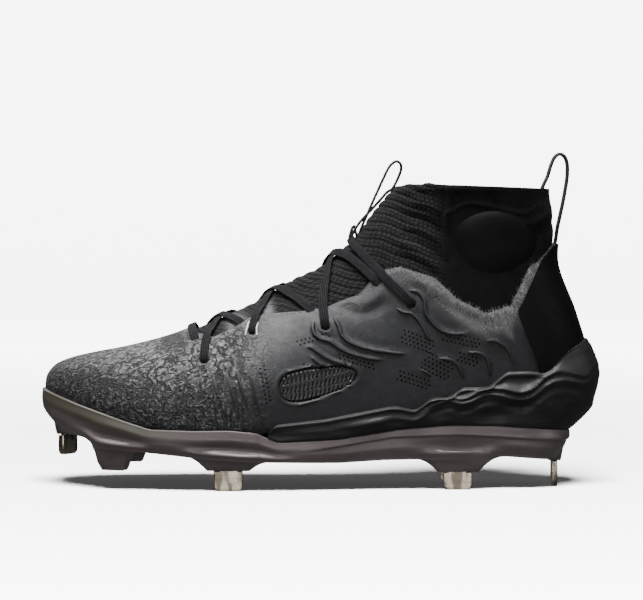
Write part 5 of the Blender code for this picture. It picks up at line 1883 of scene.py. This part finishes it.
def make_lace(last, name, strands, crest, finish):
    """One lace piece; a second strand crosses over the first."""
    bm = bmesh.new()
    for number, (start, end) in enumerate(strands):
        rise = number * 1.05 * LACE_THICKNESS
        path = lace_path(last, start, end, crest, GAP + 0.2 * MM, rise)
        make_ribbon(bm, path, LACE_WIDTH, LACE_THICKNESS, LACE_RIBS)
    lace = add_piece(name + "_woven", bm, finish, angle=70)
    settle(lace, name, slot="lace_weave")


def lace_end(kind, number, side):
    """A strand's end as lace_path reads it."""
    return (EYELETS if kind == "hole" else TUCKS)[number], side, kind


def make_laces(last, finish):
    """Every bar and crossing of the lace."""
    for name, first, second, crest in LACES:
        pairs = [(first, second)] if first == second else [(first, second), (second, first)]
        strands = [(lace_end(*outer, 1), lace_end(*inner, -1)) for outer, inner in pairs]
        make_lace(last, name, strands, crest, finish)


def strap_path(points, steps):
    """The strap's middle line as points and normals, its normal turned away from the shoe's inside."""
    path = rounded_path(points, steps)
    places = [Vector((x, 0.0, z)) for x, z in path]
    ways = [way_at(places, i) for i in range(len(places))]
    return [(place, Vector((-way.z, 0.0, way.x))) for place, way in zip(places, ways)]


def make_strap(name, node, points, width, thickness, steps, finish):
    """A webbing loop along side-view points."""
    path = strap_path(points, steps)
    sunk = [(place - normal * thickness / 2, normal) for place, normal in path]
    bm = bmesh.new()
    make_ribbon(bm, sunk, width, thickness, 3)
    strap = add_piece(name, bm, finish, angle=70)
    settle(strap, node, slot="webbing")


def make_loops(last, finish):
    """The two pull loops, each held at both its ends."""
    sunk = UPPER_WALL + TUCK_GAP
    half = REAR_LOOP_THICKNESS / 2
    outside = sunk - GAP - half
    inside = sunk + KNIT_WALL + 2 * GAP + half

    def back(z, inward):
        z = z * COLLAR_HEIGHT
        return (last.heel_x(z) + inward, z)

    rear = [back(z, inside + out * MM) for z, out in REAR_LOOP_INSIDE]
    rear += [(x * MM, z * MM) for x, z in REAR_LOOP_BEND]
    rear += [back(z, outside + out * MM) for z, out in REAR_LOOP_OUTSIDE]
    make_strap("rear_pull_loop", "pull_loop_rear", rear, REAR_LOOP_WIDTH, REAR_LOOP_THICKNESS, 6, finish)
    half = FRONT_LOOP_THICKNESS / 2
    close = -sunk + 2 * GAP + half
    over = close + FRONT_LOOP_THICKNESS + GAP

    def front(u, lift):
        place = form_point(u, 0.0) + form_normal(u, 0.0) * lift
        return (place.x, place.z)

    ahead = [front(u, close + lift * MM) for u, lift in FRONT_LOOP_INSIDE]
    ahead += [(x * MM, z * MM) for x, z in FRONT_LOOP_BEND]
    ahead += [front(12.5, over), front(11.9, close - 1.0 * MM)]
    thick = 1.3 * FRONT_LOOP_THICKNESS
    make_strap("front_pull_loop", "pull_loop_front", ahead, FRONT_LOOP_WIDTH, thick, 5, finish)


def surface_tree(obj):
    """The piece's own surface, for small things that are set on it."""
    mesh = obj.data
    verts = [v.co.copy() for v in mesh.vertices]
    return BVHTree.FromPolygons(verts, [tuple(p.vertices) for p in mesh.polygons])


def on_side(tree, x, z, side):
    """The outermost surface at x, z of the side view, in metres."""
    place, normal, _, _ = tree.ray_cast(Vector((x, side * 0.09, z)), Vector((0, -side, 0)))
    if place is None:
        return None, None
    if normal.y * side < 0:
        normal = -normal
    return place, normal


def make_vent(last, side, name, finish):
    """A glossy ribbed panel set into the side, in three rows of slanted ribs."""
    turn = math.radians(VENT["tilt"])
    columns, rows = VENT_COLUMNS, VENT_ROWS
    points = np.zeros((rows + 1, columns + 1, 3))
    for i in range(rows + 1):
        for j in range(columns + 1):
            s = -1 + 2 * j / columns
            t = -1 + 2 * i / rows
            along = s * VENT["half_length"] * VENT_INSIDE
            reach = VENT["half_height"] * (1 + VENT_TAPER * s) * VENT_INSIDE
            reach *= (1 - abs(s) ** VENT_ENDS) ** (1 / VENT_SIDES)
            across = t * reach
            x = VENT["x"] + along * math.cos(turn) + across * math.sin(turn)
            z = VENT["z"] - along * math.sin(turn) + across * math.cos(turn)
            place, normal = last.side(x * MM, z * MM, side)
            row = across / VENT["half_height"] * 1.5
            rib = abs(math.sin(math.pi * (along + 0.5 * across) / VENT["rib"] + math.pi / 2 * round(row)))
            groove = abs(math.cos(math.pi * row)) ** 0.35
            height = -0.95 + 0.75 * rib * groove - 0.5 * smooth_step(abs(t), 0.86, 1.0)
            points[i, j] = place + normal * float(height) * MM
    bm = bmesh.new()
    grid = [[bm.verts.new(p) for p in row] for row in points]
    for low, high in zip(grid, grid[1:]):
        bridge(bm, low, high, closed=False)
    thicken(bm, 0.4 * MM)
    vent = add_piece(name, bm, finish, angle=70)
    settle(vent, slot="moulded_skin")


def make_welts(upper, finish):
    """The raised beads of the moulded side, as half-round lines sunk in the skin."""
    tree = surface_tree(upper)
    bm = bmesh.new()
    for rise, width, path in SKIN_BEADS:
        points = rounded_path(path, 5)
        for side in (1, -1):
            places = []
            for i, (x, z) in enumerate(points):
                end = min(i, len(points) - 1 - i) / 4
                place, normal = on_side(tree, x * MM, z * MM, side)
                if place:
                    lift = (0.9 * rise - width) * MM - 1.0 * MM * max(0.0, 1 - end)
                    places.append(place + normal * lift)
            if len(places) > 4:
                tube(bm, places, width * MM, ROUND_SIDES)
    welts = add_piece("skin_welts", bm, finish, angle=80)
    p = places_of(welts)
    # The welts take the skin's grey with its painted shade.
    write_values(welts, "light", skin_grey_and_shade(p))
    settle(welts, slot="moulded_skin")


def seed_nodes(tree, name, kind):
    """A node that reads a named attribute of the seeds."""
    node = tree.nodes.new("GeometryNodeInputNamedAttribute")
    node.data_type = kind
    node.inputs["Name"].default_value = name
    return node.outputs["Attribute"]


def scatter(name, seeds, primitive, sizes, finish):
    """Geometry Nodes: the primitive on every seed, turned along it and scaled, as one plain mesh.

    A seed is a place, a direction for the primitive's Z and a scale in three numbers. The sizes are the
    primitive's own sockets, which become named inputs of the tree."""
    mesh = bpy.data.meshes.new(name + "_seeds")
    mesh.from_pydata([place for place, _, _ in seeds], [], [])
    turns = [turn.to_track_quat("Z", "Y").to_euler() for _, turn, _ in seeds]
    for layer_name, values in (("turn", turns), ("size", [size for _, _, size in seeds])):
        layer = mesh.attributes.new(layer_name, "FLOAT_VECTOR", "POINT")
        layer.data.foreach_set("vector", np.array([tuple(v) for v in values]).ravel())
    obj = bpy.data.objects.new(name, mesh)
    bpy.context.scene.collection.objects.link(obj)
    tree = bpy.data.node_groups.new(name + "_nodes", "GeometryNodeTree")
    tree.interface.new_socket("Geometry", in_out="INPUT", socket_type="NodeSocketGeometry")
    tree.interface.new_socket("Geometry", in_out="OUTPUT", socket_type="NodeSocketGeometry")
    named = {}
    for size in sizes:
        named[size] = tree.interface.new_socket(size, in_out="INPUT", socket_type="NodeSocketFloat")
    given = tree.nodes.new("NodeGroupInput")
    shape = tree.nodes.new(primitive)
    if primitive == "GeometryNodeMeshCircle":
        shape.fill_type = "NGON"
    shape.inputs["Vertices"].default_value = SCATTER_SIDES[primitive]
    for size in sizes:
        tree.links.new(given.outputs[size], shape.inputs[size])
    grow = tree.nodes.new("GeometryNodeInstanceOnPoints")
    tree.links.new(given.outputs["Geometry"], grow.inputs["Points"])
    tree.links.new(shape.outputs["Mesh"], grow.inputs["Instance"])
    tree.links.new(seed_nodes(tree, "turn", "FLOAT_VECTOR"), grow.inputs["Rotation"])
    tree.links.new(seed_nodes(tree, "size", "FLOAT_VECTOR"), grow.inputs["Scale"])
    realize = tree.nodes.new("GeometryNodeRealizeInstances")
    tree.links.new(grow.outputs["Instances"], realize.inputs["Geometry"])
    paint = tree.nodes.new("GeometryNodeSetMaterial")
    paint.inputs["Material"].default_value = finish
    tree.links.new(realize.outputs["Geometry"], paint.inputs["Geometry"])
    out = tree.nodes.new("NodeGroupOutput")
    tree.links.new(paint.outputs["Geometry"], out.inputs["Geometry"])
    modifier = obj.modifiers.new(name, "NODES")
    modifier.node_group = tree
    for size, value in sizes.items():
        modifier[named[size].identifier] = value
    bake_modifiers(obj)
    settle(obj, slot="moulded_skin")


def make_pinholes(upper, finish):
    """Small dark dimples in rows, both sides: black discs set on the skin, their black painted shade."""
    tree = surface_tree(upper)
    seeds = []
    for (ax, az), (bx, bz), rows, spacing in PINHOLES:
        run = Vector((bx - ax, bz - az))
        count = int(run.length / PINHOLE_PITCH)
        run.normalize()
        across = Vector((-run.y, run.x))
        for side, row, i in itertools.product((1, -1), range(rows), range(count)):
            step = (i + 0.5 * (row % 2)) * PINHOLE_PITCH
            spot = Vector((ax, az)) + run * step + across * (row - (rows - 1) / 2) * spacing
            place, normal = on_side(tree, spot.x * MM, spot.y * MM, side)
            if place is not None:
                seeds.append((place + normal * PINHOLE_LIFT, normal, (1.0, 1.0, 1.0)))
    scatter("pinholes", seeds, "GeometryNodeMeshCircle", {"Radius": PINHOLE_RADIUS}, finish)


def make_fibres(upper, finish):
    """Short pale fibres brushed up from the skin along its upper edge, long and close behind the ankle."""
    tree = surface_tree(upper)
    edge = lengths(SKIN_EDGE)
    rng = np.random.default_rng(FIBRES_SEED)
    seeds = []
    for side, _ in itertools.product((1, -1), range(FIBRES_A_SIDE)):
        x = rng.uniform(*FIBRES_FROM_TO) * MM
        thick = x < FIBRES_THICK_BEHIND * MM
        kind = FIBRES_THICK if thick else FIBRES_THIN
        tuft = 0.62 + 0.38 * math.sin(x / FIBRE_TUFT)
        if rng.uniform() > (tuft if thick else FIBRES_THIN_SHARE):
            continue
        z = float(np.interp(x, edge[:, 0], edge[:, 1]))
        slope = float(np.interp(x + MM, edge[:, 0], edge[:, 1]) - np.interp(x - MM, edge[:, 0], edge[:, 1]))
        along = Vector((2 * MM, slope)).normalized()
        up = Vector((-along.y, along.x))
        start = Vector((x, z)) - up * rng.uniform(0.6, kind["lowest"]) * MM
        place, normal = on_side(tree, start.x, start.y, side)
        if place is None:
            continue
        way = up + along * rng.uniform(-0.35, 0.35)
        tip = Vector((way.x, 0, way.y)).normalized()
        tip = (tip - normal * tip.dot(normal)).normalized() + normal * rng.uniform(0.04, 0.22)
        reach = rng.uniform(1.2, kind["longest"])
        seeds.append((place, tip.normalized(), (kind["wide"], kind["wide"], reach)))
    sizes = {"Radius Bottom": FIBRE_RADIUS, "Radius Top": FIBRE_RADIUS * 0.2, "Depth": 1.0 * MM}
    scatter("edge_fibres", seeds, "GeometryNodeMeshCone", sizes, finish)


def make_cord_loops(upper, finish):
    """The thin white cord that holds the lace at the second eyelet."""
    tree = surface_tree(upper)
    bm = bmesh.new()
    ex, ez = EYELETS[1][0] * LENGTH, EYELETS[1][1] * COLLAR_HEIGHT
    for side in (1, -1):
        for shift, lean in CORD_STRANDS:
            points = []
            for t in (-1.0, -0.5, 0.0, 0.5, 1.0):
                x = ex + (shift - lean * t) * MM
                z = ez + (1.5 + 3.4 * t) * MM
                place, normal = on_side(tree, x, min(z, float(line(SKIN_EDGE, x)) - 0.3 * MM), side)
                if place is None:
                    continue
                points.append(place + normal * (0.2 + 0.9 * (1 - t * t)) * MM)
            tube(bm, points, CORD_RADIUS, ROUND_SIDES)
    loops = add_piece("cord_loops", bm, finish)
    settle(loops, slot="lace_weave")


def tube(bm, points, radius, sides):
    """A round cord along the points, its section turned no more than it must from one to the next."""
    rows = []
    across = None
    for i, place in enumerate(points):
        along = way_at(points, i)
        start = across or along.orthogonal()
        across = (start - along * start.dot(along)).normalized()
        up = along.cross(across)
        ring = []
        for j in range(sides):
            angle = 2 * math.pi * j / sides
            ring.append(bm.verts.new(place + (across * math.cos(angle) + up * math.sin(angle)) * radius))
        rows.append(ring)
    for low, high in zip(rows, rows[1:]):
        bridge(bm, low, high)
    bm.faces.new(rows[0])
    bm.faces.new(rows[-1])


def main():
    """Builds the stage and every piece."""
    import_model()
    make_camera()
    make_stage()
    last = Last()
    skin = skin_finish()
    upper = make_upper(last, skin)
    make_collar(knit_finish())
    make_heel_panel(film_finish())
    padding = pad_finish()
    make_ankle_pad(last, "padded_ankle_lateral", "ankle_pad_lateral", 1, padding)
    make_ankle_pad(last, "padded_ankle_medial", "ankle_pad_medial", -1, padding)
    make_midsole(last, foam_finish())
    make_insole(last, insole_finish())
    make_outsole(last, plate_finish())
    metal = metal_finish()
    for name, lug_name, on_floor in BLADES:
        make_blade(name, lug_name, on_floor, metal)
    make_laces(last, lace_finish())
    make_loops(last, webbing_finish())
    make_welts(upper, skin)
    gloss = vent_finish()
    make_vent(last, 1, "vent_lateral", gloss)
    make_vent(last, -1, "vent_medial", gloss)
    # Painted shade: the pinholes are black discs.
    make_pinholes(upper, plain_finish("pinhole_shade_finish", (0.0004, 0.0004, 0.0005), 0.9, shine=0.0))
    make_fibres(upper, plain_finish("fibre_finish", (0.22, 0.217, 0.22), 0.8, shine=0.2))
    make_cord_loops(upper, plain_finish("white_cord_finish", (0.75, 0.75, 0.74), 0.6))


main()
